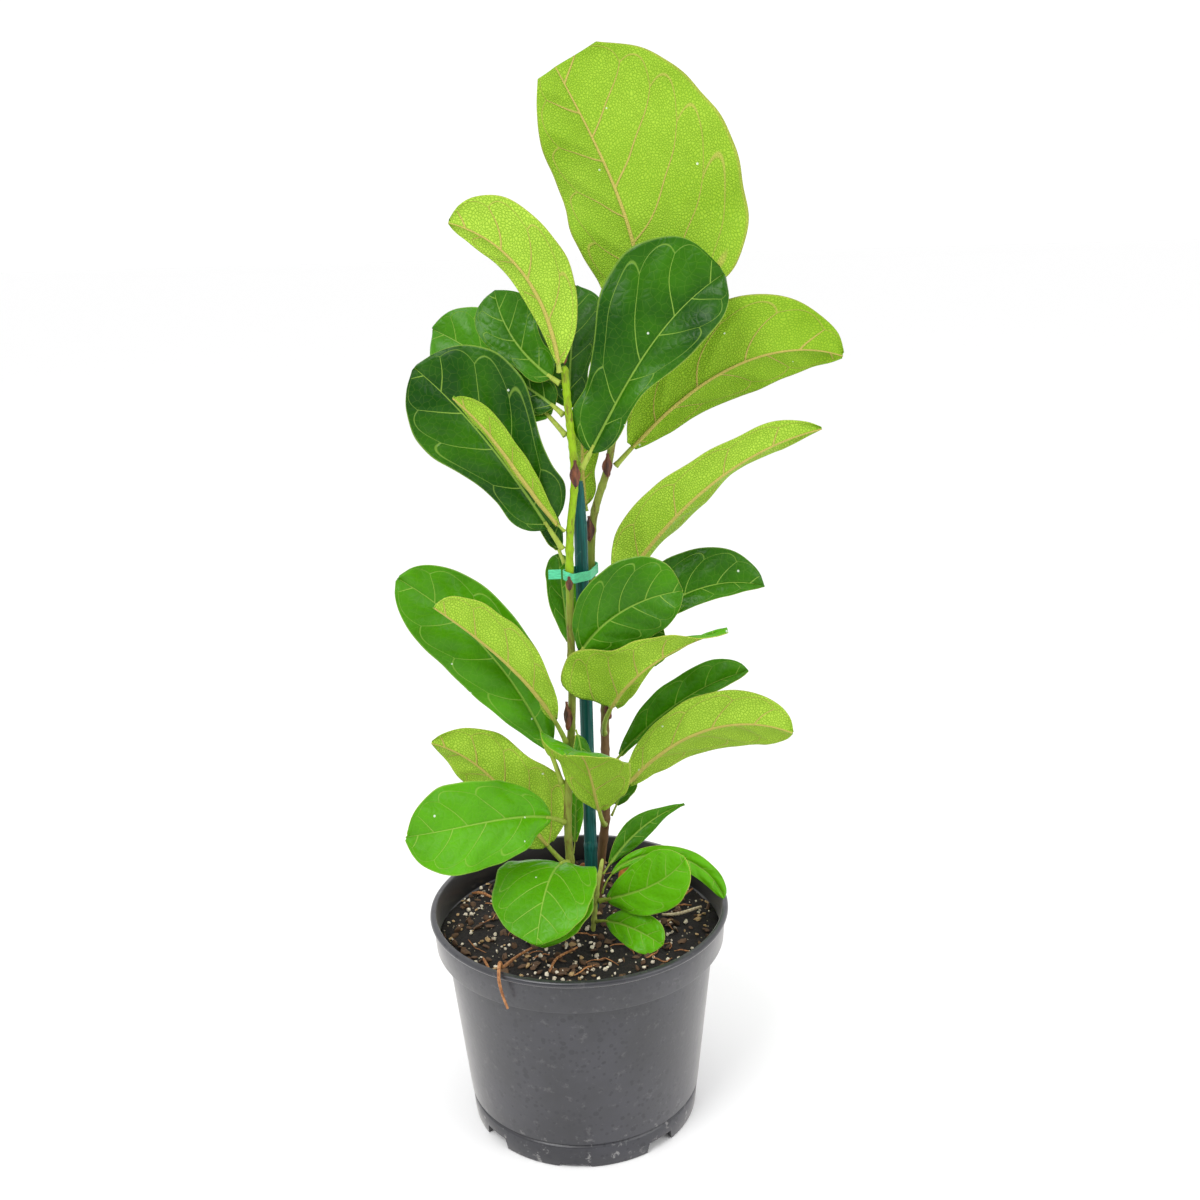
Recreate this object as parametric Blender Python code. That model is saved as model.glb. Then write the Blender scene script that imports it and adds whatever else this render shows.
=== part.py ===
"""A potted fiddle leaf fig: two canes tied to a bamboo stake in a round nursery pot.

Metres, +Z up. The origin is the centre of the pot's underside, on the ground. The front is -Y.
Each leaf grows from a cane: its petiole leaves the bark at a height, and a heading that turns from
the petiole to the tip carries the blade. The schedule below names every leaf and its headings.
"""
import math
from collections import namedtuple

import bmesh
import bpy
import numpy as np

GAP = 0.0004

# The pot
POT_HEIGHT = 0.191
RIM_RADIUS = 0.127
BAND_HEIGHT = 0.029
BAND_TAPER = 0.004
BAND_STEP = 0.0085
FOOT_RADIUS = 0.098
FOOT_HEIGHT = 0.020
FOOT_GROOVE = 0.0022
FOOT_RECESS = 0.006
FOOT_INSET = 0.006
WALL = 0.0022
LIP_THICKNESS = 0.0045
LIP_HEIGHT = 0.004
FLOOR_THICKNESS = 0.003
BOSS_RADIUS = 0.030
NOTCH_COUNT = 8
NOTCH_WIDTH = 0.032
NOTCH_HEIGHTS = (0.0025, 0.0095)
NOTCH_FIRST = -95
NOTCH_TAPER = 0.75
DRAIN_RADIUS = 0.0065
DRAIN_RING = 0.060
ROUND_STEPS = 48

# The soil, its sockets and what lies on it
SOIL_DROP = 0.023
SOIL_LEVEL = POT_HEIGHT - SOIL_DROP
# The plant's heights below were set over soil at SCHEDULE_LEVEL in a rim of SCHEDULE_RIM: they follow the pot.
SCHEDULE_LEVEL = 0.168
SCHEDULE_RIM = 0.127
LIFT = SOIL_LEVEL - SCHEDULE_LEVEL
SPREAD = RIM_RADIUS / SCHEDULE_RIM
SOIL_CROWN = 0.004
SOIL_RINGS = 4
SOIL_STEPS = 48
SOIL_CLEARANCE = 0.0008
LITTER_CLEARANCE = 0.0009
SOCKET_TOP = SOIL_LEVEL + 0.032

# The stake and the tape round it
STAKE_SIDE = 0.005
STAKE_FRONT = 0.010
STAKE_RADIUS = 0.006
STAKE_X = STAKE_SIDE + STAKE_RADIUS
STAKE_Y = STAKE_FRONT + STAKE_RADIUS
STAKE_TOP = 0.552 + LIFT
STAKE_BOTTOM = 0.030
STAKE_NODES = (0.235 + LIFT, 0.44 + LIFT)
TIE_HEIGHT = 0.477 + LIFT
TIE_WIDTH = 0.0075
TIE_THICKNESS = 0.0009
TIE_CLEARANCE = 0.0008
TIE_SLOPE = -0.30
TIE_TWIST = 8.0
TAIL_SIZE = (0.010, 0.0012, 0.0075)
TAIL_RISE = 0.006
TAIL_CENTRE = (-0.0101, -0.0085, TIE_HEIGHT + TAIL_RISE)
TIE_STEPS = 36

# The canes, bottom to top, as points along the middle of each
CANE_SIDES = 10
CANES = {
    "cane_left": ((-0.006, -0.006, 0.120), (-0.005, -0.006, 0.200), (-0.007, -0.006, 0.270),
                  (0.000, -0.006, 0.375), (0.001, -0.006, 0.460), (0.003, -0.006, 0.515),
                  (0.008, -0.006, 0.560), (0.005, -0.006, 0.610), (0.003, -0.006, 0.645)),
    "cane_right": ((0.010, 0.030, 0.120), (0.018, 0.030, 0.200), (0.025, 0.030, 0.262), (0.026, 0.031, 0.330),
                   (0.027, 0.031, 0.400), (0.019, 0.033, 0.455), (0.021, 0.032, 0.515), (0.034, 0.027, 0.560),
                   (0.040, 0.025, 0.592)),
    "shoot": ((0.008, -0.014, 0.140), (0.012, -0.014, 0.178), (0.016, -0.014, 0.210), (0.021, -0.010, 0.235)),
}
CANES = {name: [(x, y, z + LIFT) for x, y, z in points] for name, points in CANES.items()}
CANE_RADII = {"cane_left": (0.0035, 0.0027), "cane_right": (0.0041, 0.0029), "shoot": (0.0022, 0.0017)}

# The leaves
LEAF_THICKNESS = 0.0009
RIB_HEIGHT = 0.0016
RIPPLE = 0.028
PETIOLE_RADIUS = 0.0022
PETIOLE_STATIONS = 2
LEAF_STEPS = 80
CASE_FOLD = 20
# Where the points of a section lie: across the blade, and on which face.
SECTION_SPOTS = ((-1.0, 0.0), (-0.55, 1.0), (0.0, 1.0), (0.55, 1.0), (1.0, 0.0), (0.55, -1.0), (0.0, -1.0),
                 (-0.55, -1.0))
BLADE_STATIONS = (0.0, 0.05, 0.13, 0.23, 0.34, 0.46, 0.58, 0.70, 0.81, 0.90, 0.96, 1.0)
# Half width along a blade, as shares of its widest half, from the petiole to the tip.
OUTLINES = {
    "fiddle": ((0.0, 0.10), (0.05, 0.38), (0.14, 0.56), (0.26, 0.56), (0.40, 0.68), (0.54, 0.88), (0.67, 1.0),
               (0.79, 0.95), (0.89, 0.74), (0.96, 0.42), (1.0, 0.06)),
    "paddle": ((0.0, 0.10), (0.05, 0.34), (0.14, 0.48), (0.26, 0.48), (0.40, 0.60), (0.54, 0.84), (0.67, 1.0),
               (0.79, 1.0), (0.89, 0.84), (0.96, 0.55), (1.0, 0.10)),
    "broad": ((0.0, 0.30), (0.07, 0.70), (0.18, 0.90), (0.34, 0.98), (0.50, 1.0), (0.66, 0.94), (0.80, 0.76),
              (0.91, 0.50), (1.0, 0.08)),
    "blunt": ((0.0, 0.30), (0.07, 0.70), (0.18, 0.90), (0.34, 0.99), (0.50, 1.0), (0.66, 0.93), (0.80, 0.80),
              (0.91, 0.62), (1.0, 0.38)),
    "lyre": ((0.0, 0.15), (0.06, 0.55), (0.16, 0.90), (0.28, 1.0), (0.40, 0.90), (0.54, 0.76), (0.70, 0.68),
             (0.85, 0.50), (0.95, 0.26), (1.0, 0.06)),
    "round": ((0.0, 0.12), (0.08, 0.36), (0.20, 0.64), (0.35, 0.86), (0.50, 0.97), (0.65, 1.0), (0.80, 0.92),
              (0.91, 0.68), (0.97, 0.40), (1.0, 0.08)),
    "obovate": ((0.0, 0.12), (0.06, 0.32), (0.16, 0.56), (0.29, 0.76), (0.43, 0.93), (0.56, 1.0), (0.68, 0.94),
                (0.80, 0.76), (0.90, 0.50), (0.96, 0.30), (1.0, 0.06)),
    "eared": ((0.0, 0.55), (0.05, 0.90), (0.14, 1.0), (0.25, 0.95), (0.38, 0.75), (0.52, 0.56), (0.68, 0.44),
              (0.82, 0.36), (0.93, 0.22), (1.0, 0.05)),
    "pointed": ((0.0, 0.10), (0.08, 0.40), (0.20, 0.75), (0.35, 0.97), (0.48, 1.0), (0.62, 0.80), (0.76, 0.46),
                (0.90, 0.24), (1.0, 0.05)),
}

Leaf = namedtuple("Leaf", "name cane height petiole length halves turn rise roll fold outline")
L, R, S = "cane_left", "cane_right", "shoot"
MM = 0.001
# Each row: name, cane, height, petiole, length, halves, turn, rise, roll, fold, outline, in millimetres.
# halves is the widest half to the left and to the right of the rib, looking from the petiole to the tip
# at the glossy side. turn and rise are the heading at the base, the middle and the tip. roll tilts the
# blade about its rib, and fold is how far each half stands up out of the flat.
LEAF_ROWS = (
    ("leaf_01", R, 600, 98, 282, (93, 46), (180, 180, 180), (124, 77, 62), (76, 76, 80), 12, "blunt"),
    ("leaf_02", L, 641, 6, 144, (34, 12), (-130, -160, -175), (82, 57, 14), (52, 65, 75), 15, "round"),
    ("leaf_03", L, 566, 15, 183, (58, 33), (2, 2, 0), (60, 56, 30), (70, 68, 70), 14, "paddle"),
    ("leaf_04", L, 600, 15, 122, (30, 26), (92, 82, 78), (52, 55, 58), (0, 0, 0), 8, "fiddle"),
    ("leaf_05", R, 562, 20, 208, (30, 50), (-5, -3, 0), (47, 30, -20), (-70, -75, -80), 16, "obovate"),
    ("leaf_06", R, 440, 28, 240, (33, 31), (-20, -17, -13), (56, 44, 14), (-45, -50, -58), 36, "lyre"),
    ("leaf_07", L, 592, 20, 145, (33, 33), (146, 149, 152), (44, 33, 20), (-62, -66, -70), 8, "fiddle"),
    ("leaf_08", L, 632, 8, 90, (22, 28), (165, 150, 120), (32, 50, 72), (-65, -62, -50), 8, "fiddle"),
    ("leaf_09", L, 608, 10, 75, (26, 26), (150, 150, 150), (38, 27, 24), (-67, -70, -72), 8, "fiddle"),
    ("leaf_10", L, 503, 20, 180, (40, 53), (-177, -177, -178), (60, 55, 42), (-84, -83, -82), 8, "fiddle"),
    ("leaf_11", L, 518, 8, 146, (14, 14), (-149, -141, -148), (46, 54, 40), (36, 40, 44), 50, "round"),
    ("leaf_12", L, 304, 35, 225, (34, 35), (-167, -173, -174), (76, 57, 34), (-88, -82, -75), 8, "round"),
    ("leaf_13", L, 341, 28, 183, (26, 26), (-128, -143, -143), (64, 49, 40), (19, 30, 42), 50, "round"),
    ("leaf_14", L, 415, 10, 87, (14, 14), (100, 100, 97), (52, 53, 55), (3, 10, 15), 8, "round"),
    ("leaf_15", L, 413, 8, 113, (36, 28), (-32, -21, -20), (61, 35, 11), (100, 88, 77), 8, "round"),
    ("leaf_16", R, 405, 15, 146, (34, 14), (6, 4, 4), (44, 25, -20), (62, 60, 55), 12, "obovate"),
    ("leaf_17", R, 390, 10, 66, (28, 28), (-32, -26, -21), (58, 45, 28), (100, 90, 83), 8, "round"),
    ("leaf_18", R, 334, 55, 190, (10, 50), (-95, -45, 5), (38, 45, 10), (35, -45, 10), 12, "eared"),
    ("leaf_19", R, 303, 10, 143, (20, 10), (6, 5, 4), (49, 35, 11), (45, 45, 45), 20, "round"),
    ("leaf_20", R, 270, 25, 197, (32, 28), (-35, -28, -27), (52, 34, -14), (-53, -70, -86), 26, "round"),
    ("leaf_21", R, 250, 45, 175, (36, 36), (-95, -103, -108), (25, 58, 0), (-10, -10, -10), 6, "round"),
    ("leaf_22", L, 231, 22, 158, (44, 32), (-168, -177, -180), (50, 55, 15), (86, 88, 88), 20, "lyre"),
    ("leaf_23", L, 270, 20, 154, (36, 35), (-128, -145, -146), (37, 8, 10), (-74, -72, -68), 8, "round"),
    ("leaf_24", L, 233, 12, 98, (41, 43), (-115, -105, -100), (30, -22, -50), (0, 0, 0), 6, "broad"),
    ("leaf_25", L, 218, 12, 80, (37, 41), (-115, -108, -102), (22, -22, -45), (0, 0, 0), 6, "broad"),
    ("leaf_26", S, 199, 8, 96, (24, 24), (-23, -24, -25), (22, 32, 60), (71, 71, 71), 8, "round"),
    ("leaf_27", S, 221, 10, 93, (12, 9), (38, 25, 15), (46, 32, 10), (60, 60, 60), 8, "pointed"),
    ("leaf_28", S, 205, 20, 140, (9, 9), (5, 0, 15), (77, -8, -72), (63, 80, 100), 8, "round"),
    ("leaf_29", S, 180, 10, 68, (16, 16), (-38, -34, -48), (25, -5, -8), (65, 55, 45), 8, "round"),
    ("leaf_30", R, 525, 5, 88, (16, 14), (180, 180, 190), (84, 90, 88), (60, 60, 60), 25, "fiddle"),
    ("leaf_31", L, 490, 12, 100, (20, 18), (135, 125, 115), (60, 50, 30), (0, 0, 0), 8, "fiddle"),
    ("leaf_32", L, 236, 10, 55, (7, 7), (60, 70, 70), (70, 80, 80), (0, 0, 0), 8, "round"),
    ("leaf_33", R, 254, 10, 45, (12, 12), (30, 30, 30), (60, 60, 60), (30, 25, 20), 8, "round"),
    ("leaf_34", R, 370, 15, 120, (22, 22), (80, 85, 90), (45, 35, 15), (0, 0, 0), 8, "fiddle"),
    ("leaf_35", L, 352, 4, 36, (9, 10), (-50, -50, -50), (-62, -78, -86), (0, 0, 0), 10, "round"),
)
LEAVES = [
    Leaf(name, cane, height * MM + LIFT, petiole * MM, length * MM, (halves[0] * MM, halves[1] * MM),
         turn, rise, roll, fold, outline)
    for name, cane, height, petiole, length, halves, turn, rise, roll, fold, outline in LEAF_ROWS
]


# The papery sheaths at the nodes, as cane, height, length and the side they stand on.
Sheath = namedtuple("Sheath", "name cane height length width turn rise")
SHEATHS = (
    Sheath("bud_left", L, 0.655, 0.018, 0.0035, -90, 86),
    Sheath("bud_right", R, 0.553, 0.020, 0.0045, -75, 84),
    Sheath("sheath_1", L, 0.552, 0.022, 0.0045, -80, 86),
    Sheath("sheath_2", L, 0.470, 0.012, 0.0030, -90, 84),
    Sheath("sheath_3", L, 0.352, 0.026, 0.0040, -110, 84),
    Sheath("sheath_4", L, 0.300, 0.020, 0.0045, -60, 86),
    Sheath("sheath_5", R, 0.500, 0.022, 0.0045, -100, 84),
    Sheath("sheath_6", R, 0.346, 0.020, 0.0040, -60, 86),
)
SHEATH_OUTLINE = "pointed"

# Roots and a splinter on the soil: radius, look, then points as x, y and height over the soil.
LITTER = {
    "root_long": (0.0014, "root", (
        (-0.040, -0.042, 0.000), (-0.052, -0.060, 0.003), (-0.058, -0.080, 0.010),
        (-0.060, -0.097, 0.019), (-0.0605, -0.1050, 0.0280), (-0.0610, -0.1115, 0.0280),
        (-0.0612, -0.1155, 0.020), (-0.0590, -0.1165, 0.008), (-0.0555, -0.1165, -0.004))),
    "root_left": (0.0011, "root", ((-0.079, -0.055, 0.002), (-0.076, -0.066, 0.004), (-0.071, -0.077, 0.002))),
    "root_back": (0.0014, "root", ((-0.098, 0.060, 0.000), (-0.089, 0.053, 0.002), (-0.079, 0.048, 0.000))),
    "root_right": (0.0009, "root", ((0.084, 0.032, 0.000), (0.094, 0.042, 0.002), (0.101, 0.053, 0.002))),
    "root_front": (0.0011, "root", ((-0.024, -0.077, 0.000), (-0.018, -0.060, 0.001), (-0.002, -0.042, 0.000))),
    "splinter": (0.0015, "splinter", ((0.071, 0.008, 0.000), (0.088, 0.009, 0.001), (0.106, 0.017, 0.001))),
}
LITTER_COLOURS = {"root": (0.34, 0.17, 0.07), "splinter": (0.62, 0.50, 0.30)}
LITTER_SIDES = 6

# Dry husks at the foot of the canes: where each starts, then its length, half width, turn, rise and roll.
Husk = namedtuple("Husk", "name start length width turn rise roll")
HUSKS = (
    Husk("husk_1", (0.0105, 0.001, 0.178), 0.036, 0.0062, 165, 42, 80),
    Husk("husk_2", (-0.007, 0.022, 0.190), 0.025, 0.0068, 40, 50, 80),
    Husk("husk_3", (0.034, 0.036, 0.182), 0.030, 0.0058, 20, 60, -90),
)
HUSK_BEND = 25


def clear_scene():
    """Removes whatever the file opened with."""
    for obj in list(bpy.data.objects):
        bpy.data.objects.remove(obj, do_unlink=True)


def material(name, colour, roughness, metallic=0.0):
    """A plain Principled material, made once and then shared."""
    made = bpy.data.materials.get(name)
    if made is None:
        made = bpy.data.materials.new(name)
        made.use_nodes = True
        shader = made.node_tree.nodes["Principled BSDF"]
        shader.inputs["Base Color"].default_value = (*colour, 1.0)
        shader.inputs["Roughness"].default_value = roughness
        shader.inputs["Metallic"].default_value = metallic
        made.diffuse_color = (*colour, 1.0)
    return made


def add_object(name, mesh, look, sharp=40):
    """Links a mesh to the scene as one named piece, shaded smooth."""
    mesh.materials.append(look)
    mesh.shade_smooth()
    mesh.set_sharp_from_angle(angle=math.radians(sharp))
    obj = bpy.data.objects.new(name, mesh)
    bpy.context.scene.collection.objects.link(obj)
    return obj


def loft(name, rings):
    """A closed mesh over rings that all have the same number of points, with a cap at each end."""
    mesh = bmesh.new()
    loops = [[mesh.verts.new(point) for point in ring] for ring in rings]
    count = len(loops[0])
    for low, high in zip(loops, loops[1:]):
        for i in range(count):
            j = (i + 1) % count
            mesh.faces.new((low[i], low[j], high[j], high[i]))
    mesh.faces.new(list(reversed(loops[0])))
    mesh.faces.new(loops[-1])
    bmesh.ops.triangulate(mesh, faces=mesh.faces[:])
    bmesh.ops.recalc_face_normals(mesh, faces=mesh.faces[:])
    data = bpy.data.meshes.new(name)
    mesh.to_mesh(data)
    mesh.free()
    return data


def turned(name, profile, steps, look):
    """Turns a closed profile of (radius, height) points round the Z axis."""
    mesh = bmesh.new()
    rings = []
    for radius, height in profile:
        if radius < 1e-6:
            rings.append([mesh.verts.new((0.0, 0.0, height))])
            continue
        ring = []
        for i in range(steps):
            angle = 2 * math.pi * i / steps
            ring.append(mesh.verts.new((radius * math.cos(angle), radius * math.sin(angle), height)))
        rings.append(ring)
    for one, two in zip(rings, rings[1:]):
        for i in range(steps):
            j = (i + 1) % steps
            corners = [one[i % len(one)], one[j % len(one)], two[j % len(two)], two[i % len(two)]]
            mesh.faces.new(list(dict.fromkeys(corners)))
    bmesh.ops.recalc_face_normals(mesh, faces=mesh.faces[:])
    data = bpy.data.meshes.new(name)
    mesh.to_mesh(data)
    mesh.free()
    return add_object(name, data, look)


def smooth_path(points, count):
    """A smooth curve of count points through the given ones (Catmull-Rom)."""
    pts = np.array(points, float)
    ends = np.vstack([2 * pts[0] - pts[1], pts, 2 * pts[-1] - pts[-2]])
    made = []
    for s in np.linspace(0, len(pts) - 1, count):
        i = min(int(s), len(pts) - 2)
        t = s - i
        a, b, c, d = ends[i:i + 4]
        made.append(0.5 * (2 * b + (c - a) * t + (2 * a - 5 * b + 4 * c - d) * t * t
                           + (3 * b - a - 3 * c + d) * t ** 3))
    return np.array(made)


def along(points, height):
    """Where a cane's middle is at a height."""
    path = smooth_path(points, 120)
    return np.array([np.interp(height, path[:, 2], path[:, axis]) for axis in range(3)])


def circle_ring(centre, across, up, radius, sides):
    """A ring of points round centre, in the plane of across and up."""
    angles = [2 * math.pi * i / sides for i in range(sides)]
    return [centre + radius * (math.cos(a) * across + math.sin(a) * up) for a in angles]


def tube(name, points, radii, sides, look):
    """A round rod along a path, one radius for each point of it."""
    points = np.array(points, float)
    rings = []
    tangents = np.gradient(points, axis=0)
    for point, tangent, radius in zip(points, tangents, radii):
        tangent = tangent / np.linalg.norm(tangent)
        across = np.cross(tangent, (0.0, 1.0, 0.0))
        across = across / np.linalg.norm(across)
        rings.append(circle_ring(point, across, np.cross(tangent, across), radius, sides))
    return add_object(name, loft(name, rings), look)


def cut(obj, cutter):
    """Takes the cutter's shape out of obj."""
    cutter.hide_render = True
    cutter.display_type = "WIRE"
    step = obj.modifiers.new("cut", "BOOLEAN")
    step.operation = "DIFFERENCE"
    step.object = cutter


def cylinder_cutter(name, centre, radius, depth, steps=20):
    """A hidden upright cylinder used only to cut with."""
    x, y, z = centre
    profile = ((0.0, z - depth / 2), (radius, z - depth / 2), (radius, z + depth / 2), (0.0, z + depth / 2))
    obj = turned(name, profile, steps, material("cutter", (0.5, 0.5, 0.5), 0.5))
    obj.location = (x, y, 0.0)
    return obj


def wall_radius(height):
    """The pot's outer radius at a height, below the band."""
    top = RIM_RADIUS - BAND_TAPER - BAND_STEP
    share = height / (POT_HEIGHT - BAND_HEIGHT)
    return FOOT_RADIUS + (top - FOOT_RADIUS) * share


def make_pot():
    band_bottom = POT_HEIGHT - BAND_HEIGHT
    neck = wall_radius(band_bottom)
    lip_bottom = POT_HEIGHT - LIP_HEIGHT
    boss_top = FOOT_HEIGHT - FOOT_RECESS
    profile = (
        (0.0, 0.0),
        (BOSS_RADIUS, 0.0),
        (BOSS_RADIUS + 0.002, boss_top),
        (FOOT_RADIUS - 0.004 - WALL, boss_top),
        (FOOT_RADIUS - WALL - 0.001, 0.0),
        (FOOT_RADIUS - 0.0008, 0.0),
        (FOOT_RADIUS, 0.001),
        (wall_radius(FOOT_HEIGHT), FOOT_HEIGHT),
        (wall_radius(FOOT_HEIGHT) - FOOT_GROOVE, FOOT_HEIGHT + 0.0012),
        (wall_radius(FOOT_HEIGHT) - FOOT_GROOVE, FOOT_HEIGHT + 0.0028),
        (wall_radius(FOOT_HEIGHT + 0.004), FOOT_HEIGHT + 0.004),
        (neck, band_bottom - 0.002),
        (neck + BAND_STEP - 0.001, band_bottom),
        (neck + BAND_STEP, band_bottom + 0.001),
        (RIM_RADIUS - 0.0025, lip_bottom - 0.0015),
        (RIM_RADIUS - 0.0005, lip_bottom),
        (RIM_RADIUS, lip_bottom + 0.0015),
        (RIM_RADIUS - 0.001, POT_HEIGHT - 0.0006),
        (RIM_RADIUS - 0.002, POT_HEIGHT),
        (RIM_RADIUS - LIP_THICKNESS, POT_HEIGHT),
        (RIM_RADIUS - LIP_THICKNESS - 0.0008, POT_HEIGHT - 0.001),
        (neck + BAND_STEP - WALL, band_bottom + 0.003),
        (neck - WALL, band_bottom - 0.004),
        (wall_radius(FOOT_HEIGHT) - WALL - FOOT_GROOVE, FOOT_HEIGHT + 0.004),
        (wall_radius(FOOT_HEIGHT) - WALL - FOOT_INSET, boss_top + FLOOR_THICKNESS),
        (0.0, boss_top + FLOOR_THICKNESS),
    )
    pot = turned("pot", profile, ROUND_STEPS, material("pot_plastic", (0.055, 0.055, 0.058), 0.62))
    for i in range(NOTCH_COUNT):
        angle = math.radians(NOTCH_FIRST) + 2 * math.pi * i / NOTCH_COUNT
        mesh = bpy.data.meshes.new(f"notch_{i}")
        shape = bmesh.new()
        bmesh.ops.create_cube(shape, size=1.0)
        bmesh.ops.scale(shape, vec=(0.03, NOTCH_WIDTH, 2 * NOTCH_HEIGHTS[i % 2]), verts=shape.verts)
        for vert in shape.verts:
            if vert.co.z > 0:
                vert.co.y *= NOTCH_TAPER
        shape.to_mesh(mesh)
        shape.free()
        notch = bpy.data.objects.new(f"notch_{i}", mesh)
        bpy.context.scene.collection.objects.link(notch)
        notch.location = ((FOOT_RADIUS - 0.002) * math.cos(angle), (FOOT_RADIUS - 0.002) * math.sin(angle), 0.0)
        notch.rotation_euler = (0.0, 0.0, angle)
        cut(pot, notch)
        turn = angle + math.pi / NOTCH_COUNT
        spot = (DRAIN_RING * math.cos(turn), DRAIN_RING * math.sin(turn), boss_top)
        hole = cylinder_cutter(f"drain_{i}", spot, DRAIN_RADIUS, 0.02)
        cut(pot, hole)
    return pot


def soil_height(x, y):
    """The soil's surface: a low crown in the middle with soft hollows."""
    out = math.hypot(x, y) / RIM_RADIUS
    bumps = 0.0013 * math.sin(61 * x + 1.0) * math.cos(47 * y) + 0.0008 * math.sin(140 * x - 90 * y)
    return SOIL_LEVEL + SOIL_CROWN * (0.6 - out * out) + bumps


def make_soil():
    look = material("potting_mix", (0.03, 0.026, 0.024), 0.95)
    band_bottom = POT_HEIGHT - BAND_HEIGHT
    inner = wall_radius(band_bottom) - WALL - SOIL_CLEARANCE
    bottom = FOOT_HEIGHT - FOOT_RECESS + FLOOR_THICKNESS + SOIL_CLEARANCE
    bottom_radius = wall_radius(FOOT_HEIGHT) - WALL - FOOT_INSET - SOIL_CLEARANCE
    neck_z = band_bottom - 0.006
    edge = inner + 0.0035
    mesh = bmesh.new()
    rings = []
    shoulder = (bottom_radius + 0.004, FOOT_HEIGHT + 0.004)
    for radius, height in ((bottom_radius, bottom), shoulder, (inner, neck_z)):
        rings.append([mesh.verts.new((radius * math.cos(a), radius * math.sin(a), height))
                      for a in (2 * math.pi * i / SOIL_STEPS for i in range(SOIL_STEPS))])
    for k in range(SOIL_RINGS):
        radius = edge * (1 - k / SOIL_RINGS)
        rings.append([mesh.verts.new((radius * math.cos(a), radius * math.sin(a),
                                      soil_height(radius * math.cos(a), radius * math.sin(a))))
                      for a in (2 * math.pi * i / SOIL_STEPS for i in range(SOIL_STEPS))])
    for low, high in zip(rings, rings[1:]):
        for i in range(SOIL_STEPS):
            j = (i + 1) % SOIL_STEPS
            mesh.faces.new((low[i], low[j], high[j], high[i]))
    mesh.faces.new(list(reversed(rings[0])))
    middle = mesh.verts.new((0.0, 0.0, soil_height(0.0, 0.0)))
    for i in range(SOIL_STEPS):
        mesh.faces.new((rings[-1][i], rings[-1][(i + 1) % SOIL_STEPS], middle))
    bmesh.ops.recalc_face_normals(mesh, faces=mesh.faces[:])
    data = bpy.data.meshes.new("soil")
    mesh.to_mesh(data)
    mesh.free()
    soil = add_object("soil", data, look)
    for name, points in CANES.items():
        points = smooth_path(points, 40)
        inside = [p for p in points if p[2] < SOIL_LEVEL + 0.02]
        low = np.array(points[0]) + np.array((0.0, 0.0, -0.0006))
        path = [low, *inside[1:]]
        socket = tube(f"socket_{name}", path, [CANE_RADII[name][0] + GAP] * len(path), 12, look)
        cut(soil, socket)
    stake_socket = cylinder_cutter("socket_stake", (STAKE_X, STAKE_Y, (STAKE_BOTTOM - GAP + SOCKET_TOP) / 2),
                                   STAKE_RADIUS + GAP, SOCKET_TOP - STAKE_BOTTOM + GAP, 16)
    cut(soil, stake_socket)
    return soil


def make_stake():
    look = material("painted_bamboo", (0.02, 0.09, 0.075), 0.5)
    heights = [STAKE_BOTTOM]
    radii = [STAKE_RADIUS * 0.85]
    for node in STAKE_NODES:
        heights += [node - 0.004, node - 0.001, node + 0.001, node + 0.004]
        radii += [STAKE_RADIUS * 0.93, STAKE_RADIUS, STAKE_RADIUS, STAKE_RADIUS * 0.9]
    heights += [STAKE_TOP - 0.035, STAKE_TOP - 0.006, STAKE_TOP]
    radii += [STAKE_RADIUS * 0.88, STAKE_RADIUS * 0.62, STAKE_RADIUS * 0.5]
    points = [(STAKE_X, STAKE_Y, z) for z in heights]
    return tube("stake", points, radii, 14, look)


def make_canes():
    looks = {"cane_left": material("green_cane", (0.30, 0.36, 0.09), 0.5),
             "cane_right": material("green_cane", (0.30, 0.36, 0.09), 0.5),
             "shoot": material("young_shoot", (0.45, 0.55, 0.16), 0.5)}
    for name, points in CANES.items():
        path = smooth_path(points, 26 if name != "shoot" else 8)
        low, high = CANE_RADII[name]
        radii = [low + (high - low) * i / (len(path) - 1) for i in range(len(path))]
        radii[-1] *= 0.6
        tube(name, path, radii, CANE_SIDES, looks[name])


def make_tie():
    """A flat tape drawn round both canes and the stake."""
    posts = [(along(CANES[name], TIE_HEIGHT)[:2], CANE_RADII[name][0]) for name in ("cane_left", "cane_right")]
    posts.append((np.array((STAKE_X, STAKE_Y)), STAKE_RADIUS))
    mesh = bmesh.new()
    rings = []
    for grow, side in ((0.0, -0.5), (TIE_THICKNESS, -0.5), (TIE_THICKNESS, 0.5), (0.0, 0.5)):
        ring = []
        for i in range(TIE_STEPS):
            angle = 2 * math.pi * i / TIE_STEPS
            out = np.array((math.cos(angle), math.sin(angle)))
            centre, radius = max(posts, key=lambda post: post[0] @ out + post[1])
            x, y = centre + out * (radius + TIE_CLEARANCE + grow)
            height = TIE_HEIGHT + (TIE_SLOPE + TIE_TWIST * y) * (x - STAKE_X) + side * TIE_WIDTH
            ring.append(mesh.verts.new((x, y, height)))
        rings.append(ring)
    for one, two in zip(rings, rings[1:] + rings[:1]):
        for i in range(TIE_STEPS):
            j = (i + 1) % TIE_STEPS
            mesh.faces.new((one[i], one[j], two[j], two[i]))
    bmesh.ops.recalc_face_normals(mesh, faces=mesh.faces[:])
    data = bpy.data.meshes.new("tie")
    mesh.to_mesh(data)
    mesh.free()
    tape = material("mint_tape", (0.42, 0.80, 0.62), 0.6)
    add_object("tie", data, tape)
    mesh = bmesh.new()
    bmesh.ops.create_cube(mesh, size=1.0)
    bmesh.ops.scale(mesh, vec=TAIL_SIZE, verts=mesh.verts)
    data = bpy.data.meshes.new("tie_tail")
    mesh.to_mesh(data)
    mesh.free()
    add_object("tie_tail", data, tape).location = TAIL_CENTRE


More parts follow.
